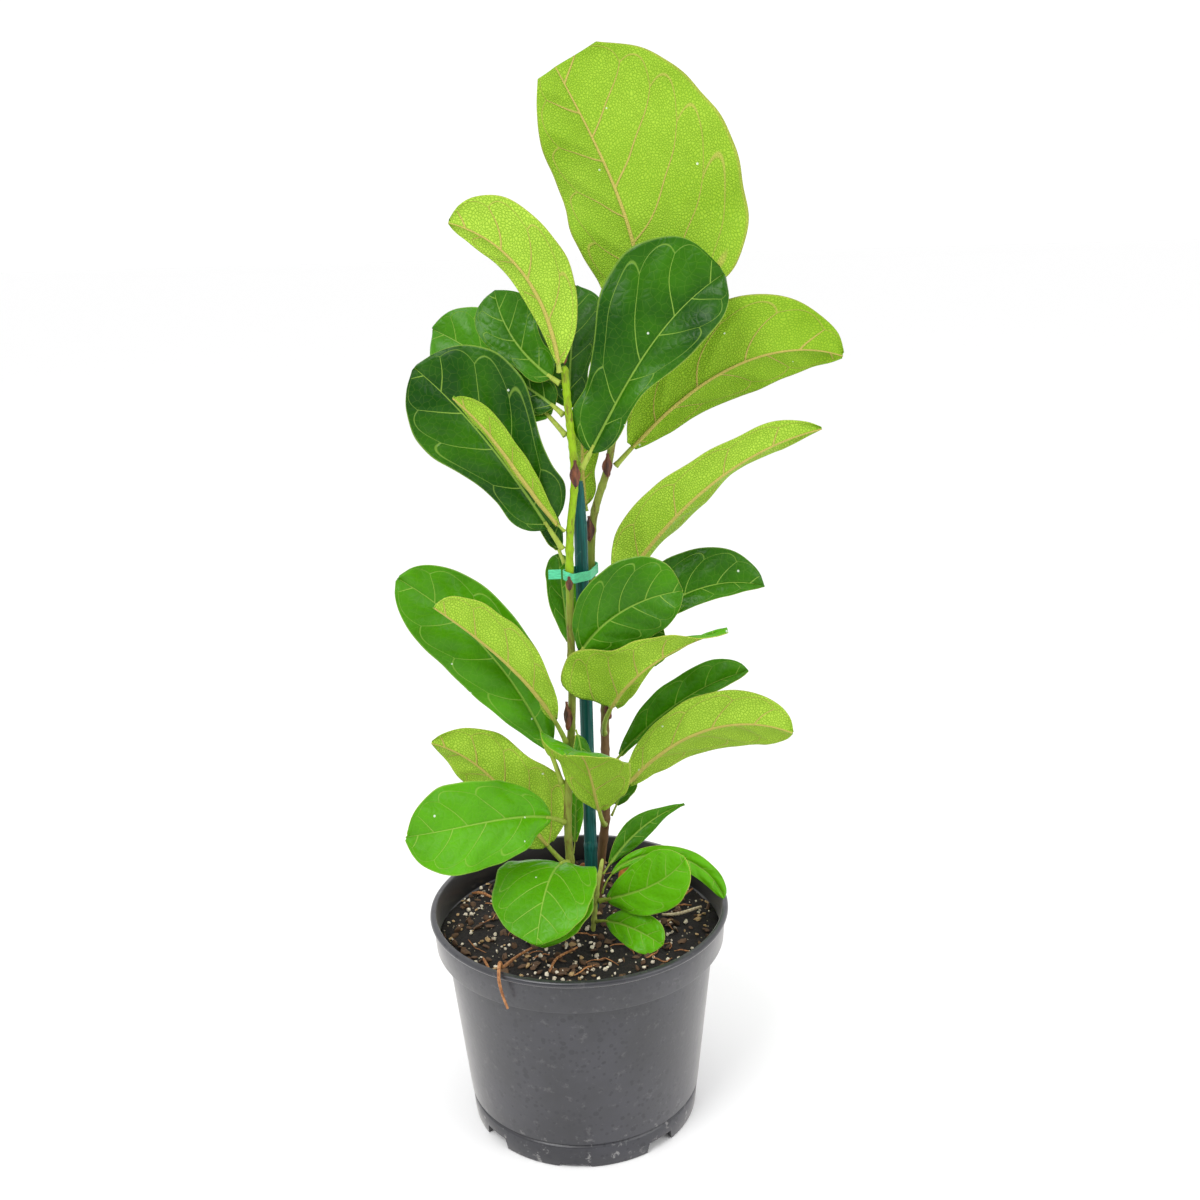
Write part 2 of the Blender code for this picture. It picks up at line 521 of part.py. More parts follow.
def between(values, t):
    """Runs smoothly through the values at the base, the middle and the tip."""
    low, middle, high = values
    return low * (1 - t) * (1 - 2 * t) + middle * 4 * t * (1 - t) + high * t * (2 * t - 1)


def heading(turn, rise):
    turn, rise = math.radians(turn), math.radians(rise)
    return np.array((math.cos(rise) * math.cos(turn), math.cos(rise) * math.sin(turn), math.sin(rise)))


def upright(turn, rise):
    """Square to the heading and in the same upright plane."""
    turn, rise = math.radians(turn), math.radians(rise)
    return np.array((-math.sin(rise) * math.cos(turn), -math.sin(rise) * math.sin(turn), math.cos(rise)))


def smooth_table(table, x):
    """The value at x of a smooth curve through the table's points."""
    path = smooth_path([(a, b, 0.0) for a, b in table], 81)
    return float(np.interp(x, path[:, 0], path[:, 1]))


def bark_point(leaf):
    """Where a petiole leaves its cane, or the middle of the cane's end for one above its top."""
    top = np.array(CANES[leaf.cane][-1])
    if leaf.height > top[2]:
        return top + (0.0, 0.0, GAP + PETIOLE_RADIUS * abs(math.cos(math.radians(leaf.rise[0]))))
    out = heading(leaf.turn[0], 0.0)
    clear = PETIOLE_RADIUS * abs(math.sin(math.radians(leaf.rise[0])))
    return along(CANES[leaf.cane], leaf.height) + out * (max(CANE_RADII[leaf.cane]) + GAP + clear)


def leaf_line(leaf, point, count):
    """The middle of a leaf from the bark to the tip, and the frame along it."""
    points, frames = [point], []
    for i in range(count):
        t = (i + 0.5) / count
        point = point + heading(between(leaf.turn, t), between(leaf.rise, t)) * leaf.length / count
        points.append(point)
    for i in range(count + 1):
        t = i / count
        turn, rise = between(leaf.turn, t), between(leaf.rise, t)
        roll = math.radians(between(leaf.roll, t))
        ahead, up = heading(turn, rise), upright(turn, rise)
        side = np.cross(ahead, up)
        top = up * math.cos(roll) + side * math.sin(roll)
        frames.append((ahead, np.cross(ahead, top), top))
    return np.array(points), frames


def leaf_section(leaf, t, side, top):
    """The closed outline across a leaf, a round petiole that becomes a thin folded blade."""
    blade_start = leaf.petiole / leaf.length
    if t <= blade_start:
        reach = (PETIOLE_RADIUS, PETIOLE_RADIUS)
        share = 0.0
        thick = PETIOLE_RADIUS
    else:
        share = (t - blade_start) / (1 - blade_start)
        wide = smooth_table(OUTLINES[leaf.outline], share)
        reach = [max(half * wide, 0.0012) for half in leaf.halves]
        thick = PETIOLE_RADIUS + (RIB_HEIGHT * 0.5 - PETIOLE_RADIUS) * min(1.0, share * 1.6)
    flat = min(1.0, share / 0.12)
    fold = math.radians(leaf.fold) * flat
    edge = LEAF_THICKNESS / 2 * flat + PETIOLE_RADIUS * 0.7 * (1 - flat)
    ripple = RIPPLE * sum(leaf.halves) * math.sin(share * 4.2 * math.pi + leaf.length * 90)
    points = []
    for across, face in SECTION_SPOTS:
        reached = abs(across) * reach[across > 0]
        lift = reached * math.sin(fold) + ripple * flat * across * abs(across)
        out = math.copysign(reached * math.cos(fold), across)
        depth = thick if across == 0.0 else edge
        points.append(side * out + top * (lift + face * depth))
    return points


def make_leaf(leaf, start, look):
    """One leaf, petiole and blade, as a closed loft along its rib."""
    blade_start = leaf.petiole / leaf.length
    shares = [blade_start * i / PETIOLE_STATIONS for i in range(PETIOLE_STATIONS)]
    shares += [blade_start + (1 - blade_start) * s for s in BLADE_STATIONS]
    points, frames = leaf_line(leaf, start, LEAF_STEPS)
    rings = []
    for t in shares:
        at = min(int(round(t * LEAF_STEPS)), LEAF_STEPS)
        ahead, side, top = frames[at]
        centre = np.array([np.interp(t * LEAF_STEPS, range(LEAF_STEPS + 1), points[:, k]) for k in range(3)])
        rings.append([centre + p for p in leaf_section(leaf, t, side, top)])
    return add_object(leaf.name, loft(leaf.name, rings), look, 60)


def make_sheaths():
    look = material("brown_sheath", (0.19, 0.08, 0.03), 0.6)
    for sheath in SHEATHS:
        leaf = Leaf(sheath.name, sheath.cane, sheath.height + LIFT, 0.0015, sheath.length, (sheath.width,) * 2,
                    (sheath.turn,) * 3, (sheath.rise,) * 3, (0, 0, 0), CASE_FOLD, SHEATH_OUTLINE)
        start = bark_point(leaf)
        make_leaf(leaf, start, look)


def make_litter():
    for name, (radius, look, points) in LITTER.items():
        points = [(x * SPREAD, y * SPREAD, lift) for x, y, lift in points]
        path = smooth_path(points, 3 * len(points))
        middle = [(x, y, soil_height(x, y) + radius + LITTER_CLEARANCE + lift) for x, y, lift in path]
        last = len(middle) - 1
        radii = [radius * (0.45 + 0.55 * math.sin(math.pi * (0.15 + 0.7 * i / last))) for i in range(last + 1)]
        tube(name, middle, radii, LITTER_SIDES, material(look, LITTER_COLOURS[look], 0.8))


def make_husks():
    look = material("dry_husk", (0.45, 0.19, 0.05), 0.7)
    for husk in HUSKS:
        leaf = Leaf(husk.name, None, 0.0, 0.002, husk.length, (husk.width,) * 2, (husk.turn,) * 3,
                    (husk.rise, husk.rise, husk.rise - HUSK_BEND), (husk.roll,) * 3, CASE_FOLD, "round")
        make_leaf(leaf, np.array(husk.start) + (0.0, 0.0, LIFT), look)


def main():
    clear_scene()
    make_pot()
    make_soil()
    make_stake()
    make_canes()
    make_tie()
    green = material("leaf_green", (0.09, 0.20, 0.035), 0.4)
    for leaf in LEAVES:
        make_leaf(leaf, bark_point(leaf), green)
    make_sheaths()
    make_litter()
    make_husks()


main()
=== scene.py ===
"""A potted fiddle leaf fig: canes, stake, tape, leaves and soil, finished over its CAD frame.

Metres, +Z up, the origin at the centre of the pot's underside, the front towards -Y.
"""

import math
from collections import namedtuple

import bmesh
import bpy
import numpy as np
from mathutils import Matrix, Vector, noise


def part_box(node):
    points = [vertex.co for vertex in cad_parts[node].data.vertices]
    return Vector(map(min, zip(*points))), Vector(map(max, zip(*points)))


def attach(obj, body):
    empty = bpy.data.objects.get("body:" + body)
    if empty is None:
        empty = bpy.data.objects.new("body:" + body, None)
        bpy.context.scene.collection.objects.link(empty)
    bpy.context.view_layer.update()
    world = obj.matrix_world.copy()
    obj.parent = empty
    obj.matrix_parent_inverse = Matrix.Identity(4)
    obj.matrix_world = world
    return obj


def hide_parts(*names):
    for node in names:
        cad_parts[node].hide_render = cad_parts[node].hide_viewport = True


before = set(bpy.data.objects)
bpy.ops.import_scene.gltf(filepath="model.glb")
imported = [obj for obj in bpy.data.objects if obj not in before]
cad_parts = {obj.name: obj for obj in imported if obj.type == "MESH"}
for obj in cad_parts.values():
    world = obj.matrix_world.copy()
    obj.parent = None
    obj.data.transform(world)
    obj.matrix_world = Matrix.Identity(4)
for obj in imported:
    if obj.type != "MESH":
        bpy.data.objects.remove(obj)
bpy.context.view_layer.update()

bl_info = {
    "name": "Potted Fiddle Leaf Fig",
    "version": (1, 0, 0),
    "blender": (4, 5, 0),
    "location": "View3D > Sidebar > Fig",
    "description": "Builds a fiddle leaf fig with its stake, soil and grow pot",
    "category": "Add Mesh",
}

MM = 0.001
GAP = 0.0004
POT_LOW, POT_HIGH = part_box("pot")
POT_HEIGHT = POT_HIGH.z
RIM_RADIUS = POT_HIGH.x
BAND_HEIGHT = 0.029
BAND_TAPER = 0.004
BAND_STEP = 0.0085
FOOT_RADIUS = 0.098
FOOT_HEIGHT = 0.020
FOOT_GROOVE = 0.0022
FOOT_RECESS = 0.006
FOOT_INSET = 0.006
WALL = 0.0022
LIP_THICKNESS = 0.0045
LIP_HEIGHT = 0.004
FLOOR_THICKNESS = 0.003
BOSS_RADIUS = 0.030
NOTCH_COUNT = 8
NOTCH_WIDTH = 0.032
NOTCH_HEIGHTS = (0.0025, 0.0095)
NOTCH_FIRST = -95
NOTCH_TAPER = 0.75
DRAIN_RADIUS = 0.0065
DRAIN_RING = 0.060
POT_STEPS = 192
# The drawn soil runs on past the CAD soil, up to the wall
SOIL_MARGIN = 0.0048
SOIL_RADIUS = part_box("soil")[1].x + SOIL_MARGIN
SOIL_DROP = 0.023
SOIL_LEVEL = POT_HEIGHT - SOIL_DROP
# The plant's heights and places below were set for soil at SCHEDULE_LEVEL and a rim of SCHEDULE_RIM.
# LIFT and SPREAD carry them over to this pot.
SCHEDULE_LEVEL = 0.168
SCHEDULE_RIM = 0.127
LIFT = SOIL_LEVEL - SCHEDULE_LEVEL
SPREAD = RIM_RADIUS / SCHEDULE_RIM
SOIL_CROWN = 0.004
SOIL_RINGS = 90
SOIL_STEPS = 220
SOIL_TUCK = 0.915
SOIL_DEPTH = 0.007

# A cane swells in a ring at each leaf and in another one this far below it
RING_DROP = 0.017
RING_SWELL = 0.0004
RING_SWELL_LIMIT = 0.0008
RING_HALF_LENGTH = 0.0022

# Side veins: how many fit along a blade, how far they lean and how much they curl towards the tip
VEINS_PER_BLADE = 4.4
VEIN_SPACING_LEAST = 0.010
VEIN_LEAN = 0.70
VEIN_CURL = 0.55
MIDLINE_STEPS = 160
# The blade UV map and the spacing attribute are in centimetres
# Each leaf starts elsewhere in the pattern
UV_PER_METRE = 100
UV_SHIFT_PER_METRE = 977

# The camera stands in front of the plant, a little below its top, and looks down
CAMERA_PLACE = (0.025, -1.0, 0.749)
CAMERA_LENS = 39.09
CAMERA_PITCH = 16.2
CAMERA_ROLL = -1.61
LIGHT_TARGET = (0.0, 0.0, 0.45)
FILL_SHARE = 0.45
FLOOR_SIZE = 30.0
FLOOR_GAP = 0.0005

# The canes, bottom to top, as points along the middle of each
CANES = {
    "cane_left": ((-0.006, -0.006, 0.120), (-0.005, -0.006, 0.200), (-0.007, -0.006, 0.270),
                  (0.000, -0.006, 0.375), (0.001, -0.006, 0.460), (0.003, -0.006, 0.515),
                  (0.008, -0.006, 0.560), (0.005, -0.006, 0.610), (0.003, -0.006, 0.645)),
    "cane_right": ((0.010, 0.030, 0.120), (0.018, 0.030, 0.200), (0.025, 0.030, 0.262), (0.026, 0.031, 0.330),
                   (0.027, 0.031, 0.400), (0.019, 0.033, 0.455), (0.021, 0.032, 0.515), (0.034, 0.027, 0.560),
                   (0.040, 0.025, 0.592)),
    "shoot": ((0.008, -0.014, 0.140), (0.012, -0.014, 0.178), (0.016, -0.014, 0.210), (0.021, -0.010, 0.235)),
}
CANES = {name: [(x, y, z + LIFT) for x, y, z in points] for name, points in CANES.items()}
CANE_RADII = {"cane_left": (0.0035, 0.0027), "cane_right": (0.0041, 0.0029), "shoot": (0.0022, 0.0017)}

# Half width along a blade, as shares of its widest half, from the petiole to the tip
OUTLINES = {
    "fiddle": ((0.0, 0.10), (0.05, 0.38), (0.14, 0.56), (0.26, 0.56), (0.40, 0.68), (0.54, 0.88), (0.67, 1.0),
               (0.79, 0.95), (0.89, 0.74), (0.96, 0.42), (1.0, 0.06)),
    "paddle": ((0.0, 0.10), (0.05, 0.34), (0.14, 0.48), (0.26, 0.48), (0.40, 0.60), (0.54, 0.84), (0.67, 1.0),
               (0.79, 1.0), (0.89, 0.84), (0.96, 0.55), (1.0, 0.10)),
    "broad": ((0.0, 0.30), (0.07, 0.70), (0.18, 0.90), (0.34, 0.98), (0.50, 1.0), (0.66, 0.94), (0.80, 0.76),
              (0.91, 0.50), (1.0, 0.08)),
    "blunt": ((0.0, 0.30), (0.07, 0.70), (0.18, 0.90), (0.34, 0.99), (0.50, 1.0), (0.66, 0.93), (0.80, 0.80),
              (0.91, 0.62), (1.0, 0.38)),
    "lyre": ((0.0, 0.15), (0.06, 0.55), (0.16, 0.90), (0.28, 1.0), (0.40, 0.90), (0.54, 0.76), (0.70, 0.68),
             (0.85, 0.50), (0.95, 0.26), (1.0, 0.06)),
    "round": ((0.0, 0.12), (0.08, 0.36), (0.20, 0.64), (0.35, 0.86), (0.50, 0.97), (0.65, 1.0), (0.80, 0.92),
              (0.91, 0.68), (0.97, 0.40), (1.0, 0.08)),
    "obovate": ((0.0, 0.12), (0.06, 0.32), (0.16, 0.56), (0.29, 0.76), (0.43, 0.93), (0.56, 1.0),
                (0.68, 0.94), (0.80, 0.76), (0.90, 0.50), (0.96, 0.30), (1.0, 0.06)),
    "eared": ((0.0, 0.55), (0.05, 0.90), (0.14, 1.0), (0.25, 0.95), (0.38, 0.75), (0.52, 0.56), (0.68, 0.44),
              (0.82, 0.36), (0.93, 0.22), (1.0, 0.05)),
    "pointed": ((0.0, 0.10), (0.08, 0.40), (0.20, 0.75), (0.35, 0.97), (0.48, 1.0), (0.62, 0.80),
                (0.76, 0.46), (0.90, 0.24), (1.0, 0.05)),
}

Leaf = namedtuple("Leaf", "name cane height petiole length halves turn rise roll fold outline tone")
L, R, S = "cane_left", "cane_right", "shoot"
# Each row: name, cane, height, petiole, length, halves, turn, rise, roll, fold, outline, tone.
# Lengths are in millimetres and angles in degrees.
# halves is the widest half to the left and to the right of the rib, looking from the petiole to the tip
# at the glossy side. turn and rise are the heading at the base, the middle and the tip. roll tilts the
# blade about its rib, fold is how far each half stands up out of the flat, and tone is how pale it is.
LEAF_ROWS = (
    ("leaf_01", R, 600, 98, 282, (93, 46), (180, 180, 180), (124, 77, 62), (76, 76, 80), 12, "blunt", 0.45),
    ("leaf_02", L, 641, 6, 144, (34, 12), (-130, -160, -175), (82, 57, 14), (52, 65, 75), 15, "round", 0.95),
    ("leaf_03", L, 566, 15, 183, (58, 33), (2, 2, 0), (60, 56, 30), (70, 68, 70), 14, "paddle", 0.12),
    ("leaf_04", L, 600, 15, 122, (30, 26), (92, 82, 78), (52, 55, 58), (0, 0, 0), 8, "fiddle", 0.12),
    ("leaf_05", R, 562, 20, 208, (30, 50), (-5, -3, 0), (47, 30, -20), (-70, -75, -80), 16, "obovate", 0.25),
    ("leaf_06", R, 440, 28, 240, (33, 31), (-20, -17, -13), (56, 44, 14), (-45, -50, -58), 36, "lyre", 0.75),
    ("leaf_07", L, 592, 20, 145, (33, 33), (146, 149, 152), (44, 33, 20), (-62, -66, -70), 8, "fiddle", 0.45),
    ("leaf_08", L, 632, 8, 90, (22, 28), (165, 150, 120), (32, 50, 72), (-65, -62, -50), 8, "fiddle", 0.25),
    ("leaf_09", L, 608, 10, 75, (26, 26), (150, 150, 150), (38, 27, 24), (-67, -70, -72), 8, "fiddle", 0.12),
    ("leaf_10", L, 503, 20, 180, (40, 53), (-177, -177, -178), (60, 55, 42), (-84, -83, -82), 8,
     "fiddle", 0.08),
    ("leaf_11", L, 518, 8, 146, (14, 14), (-149, -141, -148), (46, 54, 40), (36, 40, 44), 50, "round", 0.6),
    ("leaf_12", L, 304, 35, 225, (34, 35), (-167, -173, -174), (76, 57, 34), (-88, -82, -75), 8,
     "round", 0.5),
    ("leaf_13", L, 341, 28, 183, (26, 26), (-128, -143, -143), (64, 49, 40), (19, 30, 42), 50, "round", 0.8),
    ("leaf_14", L, 415, 10, 87, (14, 14), (100, 100, 97), (52, 53, 55), (3, 10, 15), 8, "round", 0.35),
    ("leaf_15", L, 413, 8, 113, (36, 28), (-32, -21, -20), (61, 35, 11), (100, 88, 77), 8, "round", 0.35),
    ("leaf_16", R, 405, 15, 146, (34, 14), (6, 4, 4), (44, 25, -20), (62, 60, 55), 12, "obovate", 0.2),
    ("leaf_17", R, 390, 10, 66, (28, 28), (-32, -26, -21), (58, 45, 28), (100, 90, 83), 8, "round", 0.15),
    ("leaf_18", R, 334, 55, 190, (10, 50), (-95, -45, 5), (38, 45, 10), (35, -45, 10), 12, "eared", 0.7),
    ("leaf_19", R, 303, 10, 143, (20, 10), (6, 5, 4), (49, 35, 11), (45, 45, 45), 20, "round", 0.4),
    ("leaf_20", R, 270, 25, 197, (32, 28), (-35, -28, -27), (52, 34, -14), (-53, -70, -86), 26,
     "round", 0.85),
    ("leaf_21", R, 250, 45, 175, (36, 36), (-95, -103, -108), (25, 58, 0), (-10, -10, -10), 6, "round", 0.7),
    ("leaf_22", L, 231, 22, 158, (44, 32), (-168, -177, -180), (50, 55, 15), (86, 88, 88), 20, "lyre", 0.75),
    ("leaf_23", L, 270, 20, 154, (36, 35), (-128, -145, -146), (37, 8, 10), (-74, -72, -68), 8, "round", 0.8),
    ("leaf_24", L, 233, 12, 98, (41, 43), (-115, -105, -100), (30, -22, -50), (0, 0, 0), 6, "broad", 0.7),
    ("leaf_25", L, 218, 12, 80, (37, 41), (-115, -108, -102), (22, -22, -45), (0, 0, 0), 6, "broad", 0.85),
    ("leaf_26", S, 199, 8, 96, (24, 24), (-23, -24, -25), (22, 32, 60), (71, 71, 71), 8, "round", 1),
    ("leaf_27", S, 221, 10, 93, (12, 9), (38, 25, 15), (46, 32, 10), (60, 60, 60), 8, "pointed", 0.4),
    ("leaf_28", S, 205, 20, 140, (9, 9), (5, 0, 15), (77, -8, -72), (63, 80, 100), 8, "round", 1),
    ("leaf_29", S, 180, 10, 68, (16, 16), (-38, -34, -48), (25, -5, -8), (65, 55, 45), 8, "round", 1),
    ("leaf_30", R, 525, 5, 88, (16, 14), (180, 180, 190), (84, 90, 88), (60, 60, 60), 25, "fiddle", 0.4),
    ("leaf_31", L, 490, 12, 100, (20, 18), (135, 125, 115), (60, 50, 30), (0, 0, 0), 8, "fiddle", 0.1),
    ("leaf_32", L, 236, 10, 55, (7, 7), (60, 70, 70), (70, 80, 80), (0, 0, 0), 8, "round", 0.6),
    ("leaf_33", R, 254, 10, 45, (12, 12), (30, 30, 30), (60, 60, 60), (30, 25, 20), 8, "round", 0.3),
    ("leaf_34", R, 370, 15, 120, (22, 22), (80, 85, 90), (45, 35, 15), (0, 0, 0), 8, "fiddle", 0.1),
    ("leaf_35", L, 352, 4, 36, (9, 10), (-50, -50, -50), (-62, -78, -86), (0, 0, 0), 10, "round", 0.4),
)
PETIOLE_RADIUS = 0.0022
RIPPLE = 0.028

HUSK_BEND = 25
CASE_FOLD = 20

Sheath = namedtuple("Sheath", "name cane height length width turn rise")
SHEATHS = (
    Sheath("bud_left", L, 0.655, 0.018, 0.0035, -90, 86),
    Sheath("bud_right", R, 0.553, 0.020, 0.0045, -75, 84),
    Sheath("sheath_1", L, 0.552, 0.022, 0.0045, -80, 86),
    Sheath("sheath_2", L, 0.470, 0.012, 0.0030, -90, 84),
    Sheath("sheath_3", L, 0.352, 0.026, 0.0040, -110, 84),
    Sheath("sheath_4", L, 0.300, 0.020, 0.0045, -60, 86),
    Sheath("sheath_5", R, 0.500, 0.022, 0.0045, -100, 84),
    Sheath("sheath_6", R, 0.346, 0.020, 0.0040, -60, 86),
)

LITTER = {
    "root_long": (0.0014, "root", (
        (-0.040, -0.042, 0.000), (-0.052, -0.060, 0.003), (-0.058, -0.080, 0.010),
        (-0.060, -0.097, 0.019), (-0.0605, -0.1050, 0.0280), (-0.0610, -0.1115, 0.0280),
        (-0.0612, -0.1155, 0.020), (-0.0590, -0.1165, 0.008), (-0.0555, -0.1165, -0.004))),
    "root_left": (0.0011, "root", ((-0.079, -0.055, 0.002), (-0.076, -0.066, 0.004),
                                   (-0.071, -0.077, 0.002))),
    "root_back": (0.0014, "root", ((-0.098, 0.060, 0.000), (-0.089, 0.053, 0.002), (-0.079, 0.048, 0.000))),
    "root_right": (0.0009, "root", ((0.084, 0.032, 0.000), (0.094, 0.042, 0.002), (0.101, 0.053, 0.002))),
    "root_front": (0.0011, "root", ((-0.024, -0.077, 0.000), (-0.018, -0.060, 0.001),
                                    (-0.002, -0.042, 0.000))),
    "splinter": (0.0015, "splinter", ((0.071, 0.008, 0.000), (0.088, 0.009, 0.001), (0.106, 0.017, 0.001))),
}

Husk = namedtuple("Husk", "name start length width turn rise roll")
HUSKS = (
    Husk("husk_1", (0.0105, 0.001, 0.178), 0.036, 0.0062, 165, 42, 80),
    Husk("husk_2", (-0.007, 0.022, 0.190), 0.025, 0.0068, 40, 50, 80),
    Husk("husk_3", (0.034, 0.036, 0.182), 0.030, 0.0058, 20, 60, -90),
)


# ---------------------------------------------------------------- curves and headings


def smooth_path(points, count):
    """A smooth curve of count points through the given ones (Catmull-Rom)."""
    pts = np.array(points, float)
    ends = np.vstack([2 * pts[0] - pts[1], pts, 2 * pts[-1] - pts[-2]])
    made = []
    for s in np.linspace(0, len(pts) - 1, count):
        i = min(int(s), len(pts) - 2)
        t = s - i
        a, b, c, d = ends[i:i + 4]
        made.append(0.5 * (2 * b + (c - a) * t + (2 * a - 5 * b + 4 * c - d) * t * t
                           + (3 * b - a - 3 * c + d) * t ** 3))
    return np.array(made)


def along(points, height):
    """Where a cane's middle is at a height."""
    path = smooth_path(points, 120)
    return np.array([np.interp(height, path[:, 2], path[:, axis]) for axis in range(3)])


def between(values, t):
    """Runs smoothly through the values at the base, the middle and the tip."""
    low, middle, high = values
    return low * (1 - t) * (1 - 2 * t) + middle * 4 * t * (1 - t) + high * t * (2 * t - 1)


def heading(turn, rise):
    turn, rise = math.radians(turn), math.radians(rise)
    return np.array((math.cos(rise) * math.cos(turn), math.cos(rise) * math.sin(turn), math.sin(rise)))


def upright(turn, rise):
    """Square to the heading and in the same upright plane."""
    turn, rise = math.radians(turn), math.radians(rise)
    return np.array((-math.sin(rise) * math.cos(turn), -math.sin(rise) * math.sin(turn), math.cos(rise)))


def smooth_table(table, xs):
    """Values at xs of a smooth curve through the table's points."""
    path = smooth_path([(a, b, 0.0) for a, b in table], 121)
    return np.interp(xs, path[:, 0], path[:, 1])


def bark_point(leaf):
    """Where a petiole leaves its cane, or the middle of the cane's end for one above its top."""
    top = np.array(CANES[leaf.cane][-1])
    if leaf.height > top[2]:
        return top + (0.0, 0.0, GAP + PETIOLE_RADIUS * abs(math.cos(math.radians(leaf.rise[0]))))
    out = heading(leaf.turn[0], 0.0)
    clear = PETIOLE_RADIUS * abs(math.sin(math.radians(leaf.rise[0])))
    return along(CANES[leaf.cane], leaf.height) + out * (max(CANE_RADII[leaf.cane]) + GAP + clear)


def leaf_line(leaf, point, count):
    """The middle of a leaf from the bark to the tip, with the side and top directions along it."""
    points, sides, tops = [point], [], []
    for i in range(count):
        t = (i + 0.5) / count
        point = point + heading(between(leaf.turn, t), between(leaf.rise, t)) * leaf.length / count
        points.append(point)
    for i in range(count + 1):
        t = i / count
        turn, rise = between(leaf.turn, t), between(leaf.rise, t)
        roll = math.radians(between(leaf.roll, t))
        ahead, up = heading(turn, rise), upright(turn, rise)
        top = up * math.cos(roll) + np.cross(ahead, up) * math.sin(roll)
        sides.append(np.cross(ahead, top))
        tops.append(top)
    return np.array(points), np.array(sides), np.array(tops)


def soil_height(x, y):
    """The soil's surface: a low crown in the middle with soft hollows."""
    out = math.hypot(x, y) / RIM_RADIUS
    bumps = 0.0013 * math.sin(61 * x + 1.0) * math.cos(47 * y) + 0.0008 * math.sin(140 * x - 90 * y)
    return SOIL_LEVEL + SOIL_CROWN * (0.6 - out * out) + bumps


# ---------------------------------------------------------------- meshes


def add_object(name, data):
    """An object linked to the scene."""
    made = bpy.data.objects.new(name, data)
    bpy.context.scene.collection.objects.link(made)
    return made


def add_piece(name, verts, faces, looks, slots=None, replaces=()):
    """A smooth-shaded piece that rides on the plant's one body."""
    mesh = bpy.data.meshes.new(name)
    mesh.from_pydata([tuple(v) for v in verts], [], [tuple(f) for f in faces])
    for look in looks:
        mesh.materials.append(look)
    if slots is not None:
        mesh.polygons.foreach_set("material_index", np.array(slots, np.int32))
    mesh.shade_smooth()
    mesh.update()
    piece = add_object(name, mesh)
    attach(piece, "root")
    if replaces:
        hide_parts(*replaces)
    return piece


def tube_mesh(points, radii, sides, twist=0.0):
    """Vertices and faces of a closed round rod along a path."""
    points = np.array(points, float)
    tangents = np.gradient(points, axis=0)
    tangents /= np.linalg.norm(tangents, axis=1)[:, None]
    across = np.cross(tangents, (0.0, 1.0, 0.0))
    flat = np.linalg.norm(across, axis=1) < 1e-3
    across[flat] = (1.0, 0.0, 0.0)
    across /= np.linalg.norm(across, axis=1)[:, None]
    up = np.cross(tangents, across)
    angles = np.linspace(0, 2 * math.pi, sides, endpoint=False) + twist
    ring = np.cos(angles)[None, :, None] * across[:, None, :] + np.sin(angles)[None, :, None] * up[:, None, :]
    radii = np.asarray(radii, float)
    radii = radii[:, None, None] if radii.ndim == 1 else radii[:, :, None]
    verts = (points[:, None, :] + ring * radii).reshape(-1, 3)
    faces = []
    for i in range(len(points) - 1):
        for j in range(sides):
            k = (j + 1) % sides
            faces.append((i * sides + j, i * sides + k, (i + 1) * sides + k, (i + 1) * sides + j))
    faces.append(tuple(reversed(range(sides))))
    faces.append(tuple((len(points) - 1) * sides + j for j in range(sides)))
    return verts, faces


# ---------------------------------------------------------------- shader nodes


def new_node(tree, kind, settings=None, **inputs):
    """A node with its settings made and its inputs set or linked, by socket name with _ for a space."""
    made = tree.nodes.new(kind)
    for key, value in (settings or {}).items():
        setattr(made, key, value)
    for key, value in inputs.items():
        plug_in(tree, made.inputs[key.replace("_", " ")], value)
    return made


def plug_in(tree, socket, value):
    """Links an output to a socket, or sets the socket's own value."""
    if isinstance(value, bpy.types.NodeSocket):
        tree.links.new(value, socket)
    elif isinstance(value, (tuple, list)) and len(value) == 3 and socket.type == "RGBA":
        socket.default_value = (*value, 1.0)
    else:
        socket.default_value = value


def math_node(tree, operation, a, b=0.0, clamp=False):
    made = tree.nodes.new("ShaderNodeMath")
    made.operation = operation
    made.use_clamp = clamp
    plug_in(tree, made.inputs[0], a)
    plug_in(tree, made.inputs[1], b)
    return made.outputs[0]


def times(tree, a, b):
    return math_node(tree, "MULTIPLY", a, b)


def blend_colour(tree, share, low, high):
    made = tree.nodes.new("ShaderNodeMix")
    made.data_type = "RGBA"
    plug_in(tree, made.inputs[0], share)
    plug_in(tree, made.inputs[6], low)
    plug_in(tree, made.inputs[7], high)
    return made.outputs[2]


def ramp(tree, value, low, high, low_out=0.0, high_out=1.0):
    """Runs value from low_out to high_out while it goes from low to high, smoothly."""
    made = tree.nodes.new("ShaderNodeMapRange")
    made.interpolation_type = "SMOOTHSTEP"
    for socket, number in zip(made.inputs[:5], (value, low, high, low_out, high_out)):
        plug_in(tree, socket, number)
    return made.outputs[0]


def noise_value(tree, where, scale, detail=3.0, rough=0.55):
    made = new_node(tree, "ShaderNodeTexNoise", Vector=where, Scale=scale, Detail=detail, Roughness=rough)
    return made.outputs[0]


def cells(tree, where, scale):
    """The distance to the nearest edge of a flat pattern of cells."""
    settings = {"feature": "DISTANCE_TO_EDGE", "voronoi_dimensions": "2D"}
    return new_node(tree, "ShaderNodeTexVoronoi", settings, Vector=where, Scale=scale).outputs["Distance"]


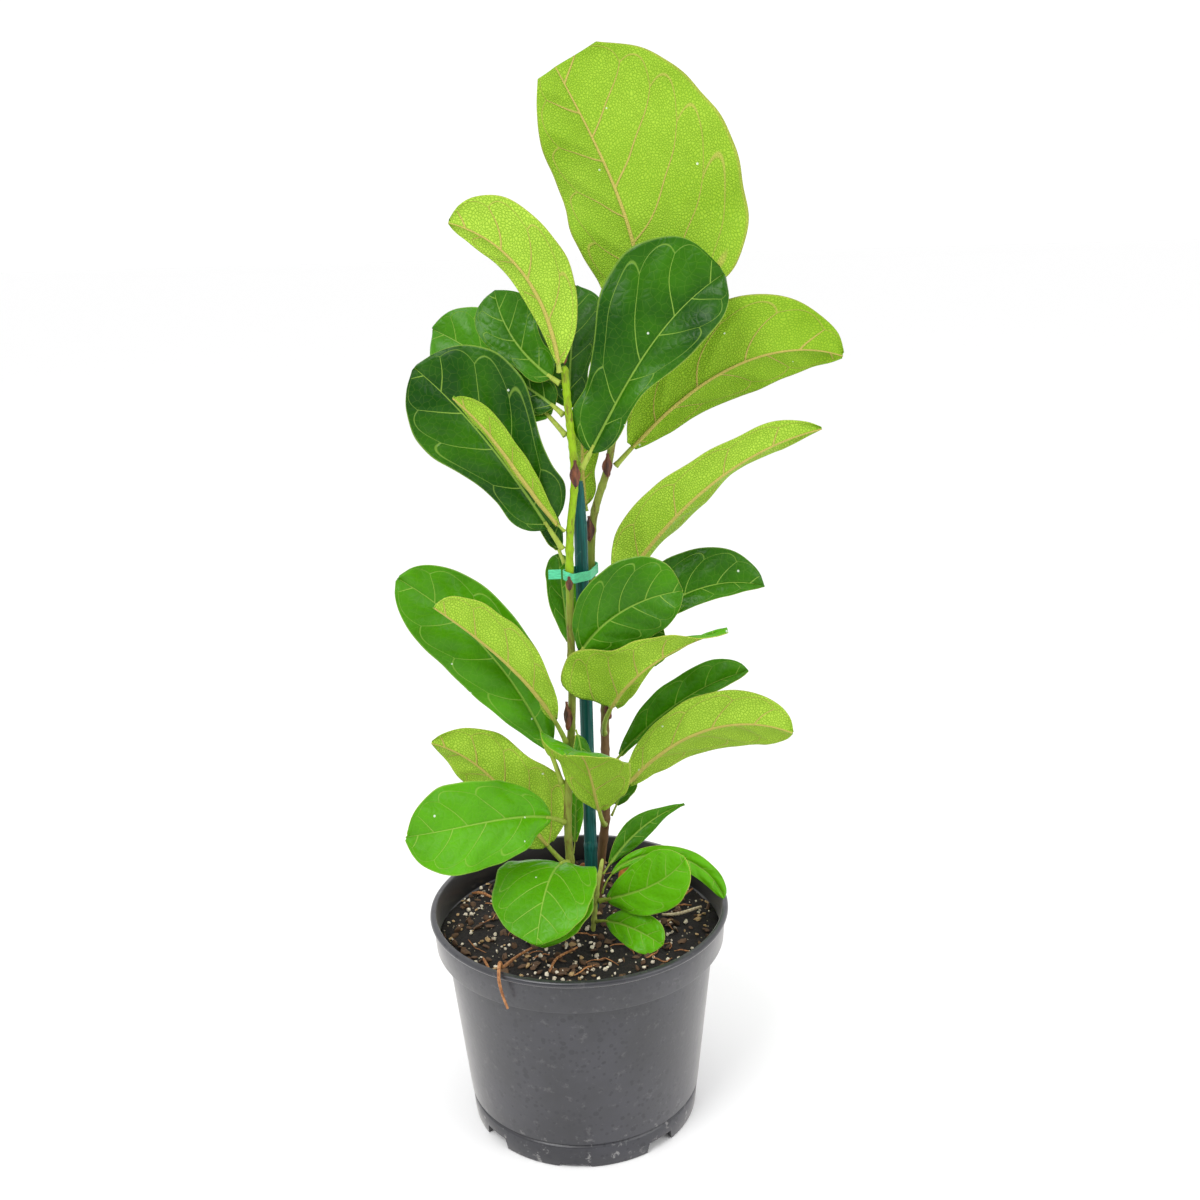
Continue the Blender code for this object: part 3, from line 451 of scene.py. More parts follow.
def new_group(name, inputs, outputs):
    """A node group with named sockets: inputs as (name, kind, default), outputs as (name, kind)."""
    group = bpy.data.node_groups.new(name, "ShaderNodeTree")
    for label, kind, default in inputs:
        socket = group.interface.new_socket(name=label, in_out="INPUT", socket_type=f"NodeSocket{kind}")
        if default is not None:
            socket.default_value = default
    for label, kind in outputs:
        group.interface.new_socket(name=label, in_out="OUTPUT", socket_type=f"NodeSocket{kind}")
    return group, group.nodes.new("NodeGroupInput"), group.nodes.new("NodeGroupOutput")


def place_group(tree, group, **inputs):
    made = tree.nodes.new("ShaderNodeGroup")
    made.node_tree = group
    for key, value in inputs.items():
        plug_in(tree, made.inputs[key.replace("_", " ")], value)
    return made


def new_material(name):
    """A material and its tree, Principled shader and object coordinates."""
    made = bpy.data.materials.new(name)
    made.use_nodes = True
    tree = made.node_tree
    where = tree.nodes.new("ShaderNodeTexCoord").outputs["Object"]
    return made, tree, tree.nodes["Principled BSDF"], where


def group_named(name, build):
    found = bpy.data.node_groups.get(name)
    return found or build()


def veins_group():
    """Where a blade's rib, side veins and fine net run, from its two UV maps."""
    inputs = (("Rib Width", "Float", 0.08), ("Side Width", "Float", 0.05), ("Net Size", "Float", 0.5),
              ("Net Width", "Float", 0.10))
    outputs = (("Main", "Float"), ("Net", "Float"), ("Rim", "Float"), ("Puff", "Float"))
    group, given, result = new_group("leaf_veins", inputs, outputs)
    blade = new_node(group, "ShaderNodeUVMap", {"uv_map": "blade"}).outputs[0]
    veins = new_node(group, "ShaderNodeUVMap", {"uv_map": "veins"}).outputs[0]
    run = new_node(group, "ShaderNodeAttribute", {"attribute_name": "run"}).outputs["Fac"]
    lateral = new_node(group, "ShaderNodeSeparateXYZ", Vector=blade).outputs[0]
    split = new_node(group, "ShaderNodeSeparateXYZ", Vector=veins)
    across = split.outputs[1]
    wobble = noise_value(group, blade, 0.16, 1.0)
    phase = math_node(group, "ADD", split.outputs[0], times(group, wobble, 0.45))
    part = math_node(group, "FRACT", phase)
    spacing = new_node(group, "ShaderNodeAttribute", {"attribute_name": "spacing"}).outputs["Fac"]
    centred = math_node(group, "SUBTRACT", part, 0.5)
    apart = times(group, math_node(group, "ABSOLUTE", centred), spacing)
    thin = math_node(group, "SUBTRACT", 1.15, across)
    width = times(group, given.outputs["Side Width"], thin)
    side = ramp(group, math_node(group, "DIVIDE", apart, width), 0.55, 1.45, 1.0, 0.0)
    side = times(group, side, ramp(group, across, 0.66, 0.74, 1.0, 0.0))
    # Near the margin the side veins are joined by arches that bulge outwards between them.
    offset = times(group, math_node(group, "ABSOLUTE", centred), 2.0)
    inward = math_node(group, "SUBTRACT", 1.0, offset)
    arch = times(group, times(group, inward, inward), 0.19)
    arch = math_node(group, "SUBTRACT", math_node(group, "ADD", across, arch), 0.87)
    arch = math_node(group, "ABSOLUTE", arch)
    arch = times(group, ramp(group, arch, 0.004, 0.018, 1.0, 0.0), 0.6)
    side = math_node(group, "MAXIMUM", side, arch)
    slim = math_node(group, "SUBTRACT", 1.25, run)
    width = times(group, given.outputs["Rib Width"], slim)
    away = math_node(group, "DIVIDE", math_node(group, "ABSOLUTE", lateral), width)
    rib = ramp(group, away, 0.7, 1.3, 1.0, 0.0)
    plug_in(group, result.inputs["Main"], math_node(group, "MAXIMUM", rib, side))
    bent = new_node(group, "ShaderNodeVectorMath", {"operation": "MULTIPLY_ADD"})
    wander = new_node(group, "ShaderNodeTexNoise", Vector=blade, Scale=0.9, Detail=0.0).outputs[1]
    plug_in(group, bent.inputs[0], wander)
    bent.inputs[1].default_value = (0.5, 0.5, 0.0)
    plug_in(group, bent.inputs[2], blade)
    scale = math_node(group, "DIVIDE", 1.0, given.outputs["Net Size"])
    net = cells(group, bent.outputs[0], scale)
    plug_in(group, result.inputs["Net"], ramp(group, net, 0.0, given.outputs["Net Width"], 1.0, 0.0))
    plug_in(group, result.inputs["Puff"], ramp(group, net, 0.0, 0.42))
    plug_in(group, result.inputs["Rim"], ramp(group, across, 0.965, 0.99))
    return group


def specks_group():
    """Scattered small specks: one at the middle of some cells."""
    inputs = (("Vector", "Vector", None), ("Scale", "Float", 400.0), ("Share", "Float", 0.2),
              ("Size", "Float", 0.25))
    group, given, result = new_group("specks", inputs, (("Mask", "Float"),))
    cell = new_node(group, "ShaderNodeTexVoronoi", {"feature": "F1"}, Vector=given.outputs[0],
                    Scale=given.outputs[1])
    near = math_node(group, "LESS_THAN", cell.outputs["Distance"], given.outputs["Size"])
    pick = new_node(group, "ShaderNodeSeparateColor", Color=cell.outputs["Color"]).outputs[0]
    chosen = math_node(group, "LESS_THAN", pick, given.outputs["Share"])
    plug_in(group, result.inputs[0], times(group, near, chosen))
    return group


def speck_mask(tree, where, scale, share, size):
    group = group_named("specks", specks_group)
    return place_group(tree, group, Vector=where, Scale=scale, Share=share, Size=size).outputs[0]


def stretched(tree, where, scale):
    """Coordinates that draw a texture out along the axes with a small scale."""
    made = new_node(tree, "ShaderNodeMapping", Vector=where)
    made.inputs["Scale"].default_value = scale
    return made.outputs[0]


def finish_shader(tree, shader, colour, rough, height, strength, depth, specular=None):
    """Gives a Principled shader its colour, roughness, highlight and bump."""
    plug_in(tree, shader.inputs["Base Color"], colour)
    plug_in(tree, shader.inputs["Roughness"], rough)
    if specular is not None:
        shader.inputs["Specular IOR Level"].default_value = specular
    bump = new_node(tree, "ShaderNodeBump", Height=height, Strength=strength, Distance=depth)
    plug_in(tree, shader.inputs["Normal"], bump.outputs[0])


def blade_colour(tree, veins, cloud, swing, dark, pale, marks):
    """Green by the leaf's tone and a cloudy noise, with marks over it as (vein output, share, colour)."""
    tone = new_node(tree, "ShaderNodeAttribute", {"attribute_name": "tone"}).outputs["Fac"]
    shift = times(tree, math_node(tree, "SUBTRACT", cloud, 0.5), swing)
    green = blend_colour(tree, math_node(tree, "ADD", tone, shift, True), dark, pale)
    for output, share, colour in marks:
        green = blend_colour(tree, times(tree, veins.outputs[output], share), green, colour)
    return green


def leaf_top_material(settings):
    """The glossy side: pale veins sunk in dark green, and a few dried drops."""
    made, tree, shader, where = new_material("leaf_top")
    veins = place_group(tree, group_named("leaf_veins", veins_group), Rib_Width=0.10, Side_Width=0.052,
                        Net_Size=0.55, Net_Width=0.05)
    cloud = noise_value(tree, where, 20.0, 3.0)
    vein = tuple(settings.vein)
    marks = (("Net", 0.10, vein), ("Main", 0.62, vein), ("Rim", 0.45, vein))
    green = blade_colour(tree, veins, cloud, 0.7, tuple(settings.top_dark), tuple(settings.top_pale), marks)
    specks = speck_mask(tree, where, 150.0, 0.030, 0.15)
    green = blend_colour(tree, times(tree, specks, 0.7), green, (0.75, 0.80, 0.72))
    rough = ramp(tree, noise_value(tree, where, 60.0, 3.0), 0.3, 0.7, 0.28, 0.40)
    relief = math_node(tree, "SUBTRACT", times(tree, veins.outputs["Puff"], 0.30),
                       times(tree, veins.outputs["Main"], 0.9))
    relief = math_node(tree, "ADD", relief, times(tree, noise_value(tree, where, 900.0, 2.0), 0.14))
    finish_shader(tree, shader, green, rough, relief, 0.5, 0.0010, 0.16)
    return made


def leaf_under_material(settings):
    """The dull side: raised tan veins and a fine dark net."""
    made, tree, shader, where = new_material("leaf_underside")
    veins = place_group(tree, group_named("leaf_veins", veins_group), Rib_Width=0.12, Side_Width=0.085,
                        Net_Size=0.20, Net_Width=0.27)
    cloud = noise_value(tree, where, 18.0, 3.0)
    vein = tuple(settings.under_vein)
    marks = (("Net", 0.66, tuple(settings.under_deep)), ("Main", 0.80, vein), ("Rim", 0.35, vein))
    dark, pale = tuple(settings.under_dark), tuple(settings.under_pale)
    green = blade_colour(tree, veins, cloud, 0.8, dark, pale, marks)
    specks = speck_mask(tree, where, 150.0, 0.025, 0.14)
    green = blend_colour(tree, times(tree, specks, 0.6), green, (0.85, 0.88, 0.80))
    relief = math_node(tree, "ADD", times(tree, veins.outputs["Puff"], 0.55),
                       times(tree, veins.outputs["Main"], 1.3))
    finish_shader(tree, shader, green, ramp(tree, cloud, 0.3, 0.7, 0.46, 0.62), relief, 0.7, 0.0009, 0.12)
    return made


def bark_material(name, low, high, change, spots, spot_share):
    """Bark that runs from one colour to another at a height, with brown spots and fine cracks."""
    made, tree, shader, where = new_material(name)
    height = new_node(tree, "ShaderNodeSeparateXYZ", Vector=where).outputs[2]
    drawn = stretched(tree, where, (1.0, 1.0, 0.28))
    grain = noise_value(tree, drawn, 420.0, 4.0)
    broad = noise_value(tree, where, 60.0, 3.0)
    shift = math_node(tree, "ADD", height, times(tree, math_node(tree, "SUBTRACT", broad, 0.5), 0.10))
    colour = blend_colour(tree, ramp(tree, shift, change - 0.03, change + 0.03), low, high)
    colour = blend_colour(tree, ramp(tree, grain, 0.45, 0.75, 0.0, 0.45), colour, spots)
    patch = noise_value(tree, drawn, 150.0, 5.0, 0.7)
    patch = ramp(tree, patch, 0.60 - spot_share, 0.72 - spot_share)
    colour = blend_colour(tree, times(tree, patch, 0.75), colour, spots)
    finish_shader(tree, shader, colour, ramp(tree, grain, 0.3, 0.7, 0.42, 0.75), grain, 0.6, 0.0006, 0.25)
    return made


def papery_material(name, dark, pale, scale=300.0, rough=0.6):
    """Dry stuff: streaks from dark to pale along its length and a crinkled surface."""
    made, tree, shader, where = new_material(name)
    streak = noise_value(tree, stretched(tree, where, (1.0, 1.0, 0.3)), scale, 5.0, 0.65)
    colour = blend_colour(tree, ramp(tree, streak, 0.35, 0.65), dark, pale)
    finish_shader(tree, shader, colour, ramp(tree, streak, 0.3, 0.7, rough - 0.1, rough + 0.15), streak, 0.6,
                  0.0006)
    return made


def pot_material(settings):
    """Moulded plastic with dried water spots, scuffs near the foot, a fine moulding grain and painted shade
    on the inner wall.
    """
    made, tree, shader, where = new_material("grow_pot_plastic")
    height = new_node(tree, "ShaderNodeSeparateXYZ", Vector=where).outputs[2]
    broad = noise_value(tree, where, 14.0, 4.0, 0.6)
    fine = noise_value(tree, where, 240.0, 3.0, 0.6)
    base = blend_colour(tree, ramp(tree, broad, 0.35, 0.68), tuple(settings.plastic),
                        tuple(settings.plastic_pale))
    for size, share, depth in ((230.0, 0.45, 0.75), (130.0, 0.34, 0.80)):
        blots = speck_mask(tree, where, size, share, 0.33)
        base = blend_colour(tree, times(tree, blots, depth), base, (0.003, 0.003, 0.009))
    dust = ramp(tree, noise_value(tree, where, 120.0, 5.0, 0.7), 0.56, 0.70)
    low = ramp(tree, height, 0.0, 0.045, 0.75, 0.10)
    base = blend_colour(tree, times(tree, dust, low), base, tuple(settings.dust))
    # Walls that face the pot's axis are the inside: painted shade darkens this same plastic almost to black
    # there
    inner = new_node(tree, "ShaderNodeNewGeometry").outputs["Normal"]
    flat = new_node(tree, "ShaderNodeVectorMath", {"operation": "MULTIPLY"})
    plug_in(tree, flat.inputs[0], where)
    flat.inputs[1].default_value = (1.0, 1.0, 0.0)
    facing = new_node(tree, "ShaderNodeVectorMath", {"operation": "DOT_PRODUCT"})
    plug_in(tree, facing.inputs[0], inner)
    plug_in(tree, facing.inputs[1], flat.outputs[0])
    inner_wall_painted_shade = ramp(tree, facing.outputs["Value"], -0.03, -0.01, 1.0, 0.0)
    base = blend_colour(tree, times(tree, inner_wall_painted_shade, 0.9), base, (0.004, 0.004, 0.004))
    shader.inputs["Sheen Weight"].default_value = 0.50
    shader.inputs["Sheen Roughness"].default_value = 0.35
    shader.inputs["Sheen Tint"].default_value = (1.0, 0.96, 0.93, 1.0)
    relief = math_node(tree, "ADD", fine, times(tree, broad, 0.5))
    finish_shader(tree, shader, base, ramp(tree, broad, 0.3, 0.7, 0.30, 0.42), relief, 0.20, 0.0004, 0.75)
    return made


def soil_material(settings):
    """Dark mix with brown patches and tiny tan grains."""
    made, tree, shader, where = new_material("potting_mix")
    fine = noise_value(tree, where, 420.0, 6.0, 0.7)
    broad = noise_value(tree, where, 70.0, 4.0)
    colour = blend_colour(tree, ramp(tree, fine, 0.4, 0.7), tuple(settings.soil), tuple(settings.soil_pale))
    colour = blend_colour(tree, ramp(tree, broad, 0.55, 0.75, 0.0, 0.5), colour, (0.035, 0.021, 0.012))
    grains = speck_mask(tree, where, 420.0, 0.10, 0.30)
    colour = blend_colour(tree, times(tree, grains, 0.8), colour, (0.50, 0.42, 0.28))
    finish_shader(tree, shader, colour, 0.9, fine, 1.0, 0.002)
    return made


def bamboo_material(settings):
    """Bamboo under dark green paint, worn to a paler green along its fibres."""
    made, tree, shader, where = new_material("painted_bamboo")
    fibre = noise_value(tree, stretched(tree, where, (1.0, 1.0, 0.04)), 700.0, 4.0)
    worn = noise_value(tree, where, 90.0, 4.0, 0.65)
    colour = blend_colour(tree, ramp(tree, fibre, 0.35, 0.7), tuple(settings.paint),
                          tuple(settings.paint_pale))
    colour = blend_colour(tree, ramp(tree, worn, 0.60, 0.70, 0.0, 0.5), colour, (0.10, 0.26, 0.18))
    finish_shader(tree, shader, colour, ramp(tree, fibre, 0.3, 0.7, 0.34, 0.52), fibre, 0.5, 0.0005, 0.25)
    return made


def tape_material(settings):
    """Stretchy tie tape with fine creases along it, their hollows darkened with painted shade."""
    made, tree, shader, where = new_material("tie_tape")
    crease_and_shade = noise_value(tree, stretched(tree, where, (0.25, 0.25, 1.0)), 900.0, 3.0)
    # Painted shade: the tape's own colour, dimmed to 0.72, fills the hollows of the creases
    deep = tuple(0.72 * c for c in settings.tape)
    colour = blend_colour(tree, ramp(tree, crease_and_shade, 0.3, 0.7), deep, tuple(settings.tape))
    finish_shader(tree, shader, colour, ramp(tree, crease_and_shade, 0.3, 0.7, 0.40, 0.55), crease_and_shade, 0.6, 0.0005, 0.25)
    return made


def grain_material(name, pale, deep):
    """Pale grains with a little dirt in their hollows."""
    made, tree, shader, where = new_material(name)
    dirt = noise_value(tree, where, 380.0, 4.0, 0.65)
    colour = blend_colour(tree, ramp(tree, dirt, 0.50, 0.72), pale, deep)
    finish_shader(tree, shader, colour, 0.85, noise_value(tree, where, 1500.0, 2.0), 0.6, 0.0004)
    return made


# ---------------------------------------------------------------- pieces

NEAR_RIB = (0.0, 0.0005, 0.0011, 0.0018, 0.0028)
COLUMNS = 22
Half = namedtuple("Half", "upper lower phase across lateral along share")


def blade_arrays(leaf, start, settings, step):
    """Everything about a blade on a grid: positions of both faces, and each half's vein coordinates."""
    points, sides, tops = leaf_line(leaf, start, MIDLINE_STEPS)
    blade_start = leaf.petiole / leaf.length
    blade_length = leaf.length - leaf.petiole
    count = max(16, int(blade_length / step))
    share = 0.5 - 0.5 * np.cos(np.linspace(0, math.pi, count + 1))
    share = 0.7 * np.linspace(0, 1, count + 1) + 0.3 * share
    at = (blade_start + (1 - blade_start) * share) * MIDLINE_STEPS
    centre, side, top = (
        np.array([np.interp(at, range(MIDLINE_STEPS + 1), values[:, k]) for k in range(3)]).T
        for values in (points, sides, tops))
    wide = smooth_table(OUTLINES[leaf.outline], share)
    flat = np.minimum(1.0, share / 0.12)
    fold = math.radians(leaf.fold) * flat
    seed = leaf.length * 90
    spacing = max(VEIN_SPACING_LEAST, blade_length / VEINS_PER_BLADE)
    halves = {}
    for sign, half in ((-1, leaf.halves[0]), (1, leaf.halves[1])):
        near = [d / max(half, 0.004) for d in NEAR_RIB]
        c = np.array([*near, *np.linspace(near[-1], 1.0, COLUMNS - len(near) + 1)[1:]])
        reach = np.maximum(half * wide, 0.0012)
        wobble = 1 + 0.012 * np.sin(share * 17 + seed + sign) + 0.006 * np.sin(share * 37 + 2.2 * seed)
        reach = reach * wobble
        lateral = reach[:, None] * c[None, :]
        x = share * blade_length
        phase = ((x[:, None] - VEIN_LEAN * lateral - VEIN_CURL * lateral ** 2 / half) / spacing
                 + 0.2 + 0.47 * (sign > 0))
        gap = np.abs(np.mod(phase, 1.0) - 0.5) * 2
        puff = (1 - (1 - gap) ** 2) * np.sin(np.minimum(1.0, c * 1.1) * math.pi * 0.94)[None, :]
        ripple = RIPPLE * sum(leaf.halves) * np.sin(share * 4.2 * math.pi + seed)
        waves = np.sin(share * 15 + 1.7 * seed + sign) + 0.5 * np.sin(share * 29 + seed)
        frill = settings.frill * half * waves
        frill = frill * np.minimum(1, (1 - share) * 6)
        lift = (lateral * np.sin(fold)[:, None] + (ripple * flat)[:, None] * sign * c[None, :] ** 2
                + (frill * flat)[:, None] * c[None, :] ** 3)
        out = lateral * np.cos(fold)[:, None] * sign
        normal = top * np.cos(fold)[:, None] - side * (sign * np.sin(fold))[:, None]
        middle = centre[:, None, :] + side[:, None, :] * out[:, :, None] + top[:, None, :] * lift[:, :, None]
        body = settings.thickness / 2 * np.ones_like(lateral)
        rib = 0.0019 - 0.0014 * share
        ridge = rib[:, None] * np.sqrt(np.clip(1 - (lateral / (1.5 * rib[:, None])) ** 2, 0, 1))
        swell = settings.quilt * spacing * puff
        upper = middle + normal[:, None, :] * (body + swell - 0.16 * ridge)[:, :, None]
        lower = middle - normal[:, None, :] * (body - swell + ridge)[:, :, None]
        halves[sign] = Half(upper, lower, phase, c, lateral, x, share)
    return halves, spacing, points, blade_start


def make_blade(leaf, start, looks, settings, replaces=(), step=0.0026):
    """A leaf's upper face, underside, margin and petiole as one piece."""
    halves, spacing, points, blade_start = blade_arrays(leaf, start, settings, step)
    left, right = halves[-1], halves[1]
    rows, cols = left.upper.shape[:2]
    width = 2 * cols - 1
    sheets = []
    for one, other in ((left.upper, right.upper), (left.lower, right.lower)):
        middle = (one[:, :1] + other[:, :1]) / 2
        sheets.append(np.concatenate([one[:, :0:-1], middle, other[:, 1:]], axis=1))
    verts = np.concatenate([sheets[0].reshape(-1, 3), sheets[1].reshape(-1, 3)])
    base = rows * width
    faces, slots, halves_of = [], [], []
    for i in range(rows - 1):
        for j in range(width - 1):
            a, b, c, d = i * width + j, i * width + j + 1, (i + 1) * width + j + 1, (i + 1) * width + j
            which = -1 if j < cols - 1 else 1
            faces += [(a, b, c, d), (base + a, base + d, base + c, base + b)]
            slots += [0, 1]
            halves_of += [which, which]
        for j, which in ((0, -1), (width - 1, 1)):
            a, d = i * width + j, (i + 1) * width + j
            rim = (a, d, base + d, base + a)
            faces.append(rim if which < 0 else rim[::-1])
            slots.append(1)
            halves_of.append(which)
    for i, turn in ((0, 1), (rows - 1, -1)):
        for j in range(width - 1):
            a, b = i * width + j, i * width + j + 1
            end = (a, base + a, base + b, b)
            faces.append(end[::turn])
            slots.append(1)
            halves_of.append(-1 if j < cols - 1 else 1)
    blade_faces = len(faces)
    stem_end = min(MIDLINE_STEPS, int((blade_start + 0.03) * MIDLINE_STEPS) + 1)
    stem = points[:stem_end + 1]
    first = stem[0] - (stem[1] - stem[0]) / np.linalg.norm(stem[1] - stem[0]) * 0.0003
    stem = smooth_path(np.vstack([first, stem[1:]]), 14)
    slim = min(1.0, sum(leaf.halves) / 0.05)
    radii = np.interp(np.linspace(0, 1, 14), (0, 0.12, 0.6, 1), (0.0028, 0.0022, 0.0019, 0.0016)) * slim
    stem_verts, stem_faces = tube_mesh(stem, radii, 12)
    offset = len(verts)
    verts = np.concatenate([verts, stem_verts])
    faces += [tuple(offset + v for v in face) for face in stem_faces]
    slots += [2] * len(stem_faces)
    piece = add_piece(leaf.name, verts, faces, looks, slots, replaces)
    mesh = piece.data
    blade = np.zeros((len(mesh.loops), 2))
    veins = np.zeros((len(mesh.loops), 2))
    quads = np.array(faces[:blade_faces])
    which = np.array(halves_of)
    flat_index = quads % base
    row, col = flat_index // width, flat_index % width
    apart = np.abs(col - (cols - 1))
    for key, half in halves.items():
        chosen = which == key
        r, q = row[chosen], apart[chosen]
        spots = (np.arange(len(quads))[chosen][:, None] * 4 + np.arange(4)).reshape(-1)
        blade[spots, 0] = (key * half.lateral[r, q]).reshape(-1) * UV_PER_METRE
        blade[spots, 1] = half.along[r].reshape(-1) * UV_PER_METRE + leaf.length * UV_SHIFT_PER_METRE
        veins[spots, 0] = half.phase[r, q].reshape(-1)
        veins[spots, 1] = half.across[q].reshape(-1)
    for name, values in (("blade", blade), ("veins", veins)):
        mesh.uv_layers.new(name=name).data.foreach_set("uv", values.reshape(-1))
    run = np.concatenate([np.repeat(left.share, width)] * 2 + [np.zeros(len(stem_verts))])
    for name, values in (("run", run), ("spacing", np.full(len(verts), spacing * UV_PER_METRE)),
                         ("tone", np.full(len(verts), leaf.tone))):
        mesh.attributes.new(name, "FLOAT", "POINT").data.foreach_set("value", values.astype(np.float32))
    return piece


def cane_shape(name, count, sides):
    """A cane with a swollen ring at every leaf it carries and another one below it."""
    points = smooth_path(CANES[name], count)
    low, high = CANE_RADII[name]
    radii = np.linspace(low, high, count)
    heights = [row[2] * MM + LIFT for row in LEAF_ROWS if row[1] == name]
    rings = sorted(heights + [h - RING_DROP for h in heights])
    swell = np.zeros(count)
    for h in rings:
        swell += RING_SWELL * np.exp(-((points[:, 2] - h) / RING_HALF_LENGTH) ** 2)
    radii = radii + np.minimum(swell, RING_SWELL_LIMIT)
    radii[-3:] *= (0.95, 0.8, 0.45)
    angles = np.linspace(0, 2 * math.pi, sides, endpoint=False)
    rough = np.array([[noise.noise(Vector((9 * math.cos(a), 9 * math.sin(a), p[2] * 260))) for a in angles]
                      for p in points])
    return points, radii[:, None] * (1 + 0.03 * rough)


def wall_radius(height):
    """The pot's outer radius at a height, below the band."""
    top = RIM_RADIUS - BAND_TAPER - BAND_STEP
    return FOOT_RADIUS + (top - FOOT_RADIUS) * height / (POT_HEIGHT - BAND_HEIGHT)


def pot_profile():
    """The closed section of the pot, from the middle of its underside round to the middle of its floor."""
    band_bottom = POT_HEIGHT - BAND_HEIGHT
    neck = wall_radius(band_bottom)
    lip_bottom = POT_HEIGHT - LIP_HEIGHT
    boss_top = FOOT_HEIGHT - FOOT_RECESS
    foot = wall_radius(FOOT_HEIGHT)
    return (
        (0.0, 0.0), (BOSS_RADIUS, 0.0), (BOSS_RADIUS + 0.002, boss_top),
        (FOOT_RADIUS - 0.004 - WALL, boss_top),
        (FOOT_RADIUS - WALL - 0.001, 0.0), (FOOT_RADIUS - 0.0008, 0.0), (FOOT_RADIUS - 0.0002, 0.0003),
        (FOOT_RADIUS, 0.001), (foot - 0.0004, FOOT_HEIGHT - 0.0008), (foot - 0.0008, FOOT_HEIGHT),
        (foot - FOOT_GROOVE, FOOT_HEIGHT + 0.0012), (foot - FOOT_GROOVE, FOOT_HEIGHT + 0.0028),
        (wall_radius(FOOT_HEIGHT + 0.004), FOOT_HEIGHT + 0.004), (neck, band_bottom - 0.002),
        (neck + BAND_STEP - 0.001, band_bottom), (neck + BAND_STEP - 0.0003, band_bottom + 0.0003),
        (neck + BAND_STEP, band_bottom + 0.001), (RIM_RADIUS - 0.0025, lip_bottom - 0.0015),
        (RIM_RADIUS - 0.0005, lip_bottom), (RIM_RADIUS - 0.0001, lip_bottom + 0.0008),
        (RIM_RADIUS, lip_bottom + 0.0015), (RIM_RADIUS - 0.0003, POT_HEIGHT - 0.0013),
        (RIM_RADIUS - 0.001, POT_HEIGHT - 0.0004), (RIM_RADIUS - 0.002, POT_HEIGHT),
        (RIM_RADIUS - LIP_THICKNESS, POT_HEIGHT), (RIM_RADIUS - LIP_THICKNESS - 0.0008, POT_HEIGHT - 0.001),
        (neck + BAND_STEP - WALL, band_bottom + 0.003), (neck - WALL, band_bottom - 0.004),
        (foot - WALL - FOOT_GROOVE, FOOT_HEIGHT + 0.004),
        (foot - WALL - FOOT_INSET, boss_top + FLOOR_THICKNESS),
        (0.0, boss_top + FLOOR_THICKNESS))


def turned_mesh(name, profile, steps):
    """A mesh from a closed profile of (radius, height) points turned round the Z axis."""
    shape = bmesh.new()
    rings = []
    for radius, height in profile:
        count = steps if radius > 0 else 1
        angles = [math.tau * i / steps for i in range(count)]
        rings.append([shape.verts.new((radius * math.cos(a), radius * math.sin(a), height)) for a in angles])
    for one, two in zip(rings, rings[1:]):
        for i in range(steps):
            j = (i + 1) % steps
            corners = [one[i % len(one)], one[j % len(one)], two[j % len(two)], two[i % len(two)]]
            shape.faces.new(list(dict.fromkeys(corners)))
    bmesh.ops.recalc_face_normals(shape, faces=shape.faces[:])
    mesh = bpy.data.meshes.new(name)
    shape.to_mesh(mesh)
    shape.free()
    return mesh


def pot_cutters():
    """One mesh with the notches in the foot and the drain holes in the floor."""
    shape = bmesh.new()
    for i in range(NOTCH_COUNT):
        angle = math.radians(NOTCH_FIRST) + math.tau * i / NOTCH_COUNT
        made = bmesh.ops.create_cube(shape, size=1.0)["verts"]
        bmesh.ops.scale(shape, vec=(0.03, NOTCH_WIDTH, 2 * NOTCH_HEIGHTS[i % 2]), verts=made)
        for vert in made:
            vert.co.y *= NOTCH_TAPER if vert.co.z > 0 else 1.0
        place = Matrix.Rotation(angle, 4, "Z") @ Matrix.Translation((FOOT_RADIUS - 0.002, 0.0, 0.0))
        bmesh.ops.transform(shape, matrix=place, verts=made)
        turn = angle + math.pi / NOTCH_COUNT
        spot = (DRAIN_RING * math.cos(turn), DRAIN_RING * math.sin(turn), FOOT_HEIGHT - FOOT_RECESS)
        bmesh.ops.create_cone(shape, cap_ends=True, segments=32, radius1=DRAIN_RADIUS, radius2=DRAIN_RADIUS,
                              depth=0.02, matrix=Matrix.Translation(spot))
    mesh = bpy.data.meshes.new("pot_cutters")
    shape.to_mesh(mesh)
    shape.free()
    return mesh


def rock(centre, size, rng, flatness=1.0):
    """A small rough grain as vertices and faces, from a jittered icosahedron."""
    shape = bmesh.new()
    bmesh.ops.create_icosphere(shape, subdivisions=1, radius=size)
    turn = Matrix.Rotation(rng.uniform(0, math.tau), 3, Vector(rng.normal(size=3)).normalized())
    verts = []
    for vert in shape.verts:
        point = vert.co * (1 + rng.uniform(-0.28, 0.28))
        point.z *= flatness
        verts.append(np.array(turn @ point) + centre)
    faces = [tuple(v.index for v in face.verts) for face in shape.faces]
    shape.free()
    return verts, faces


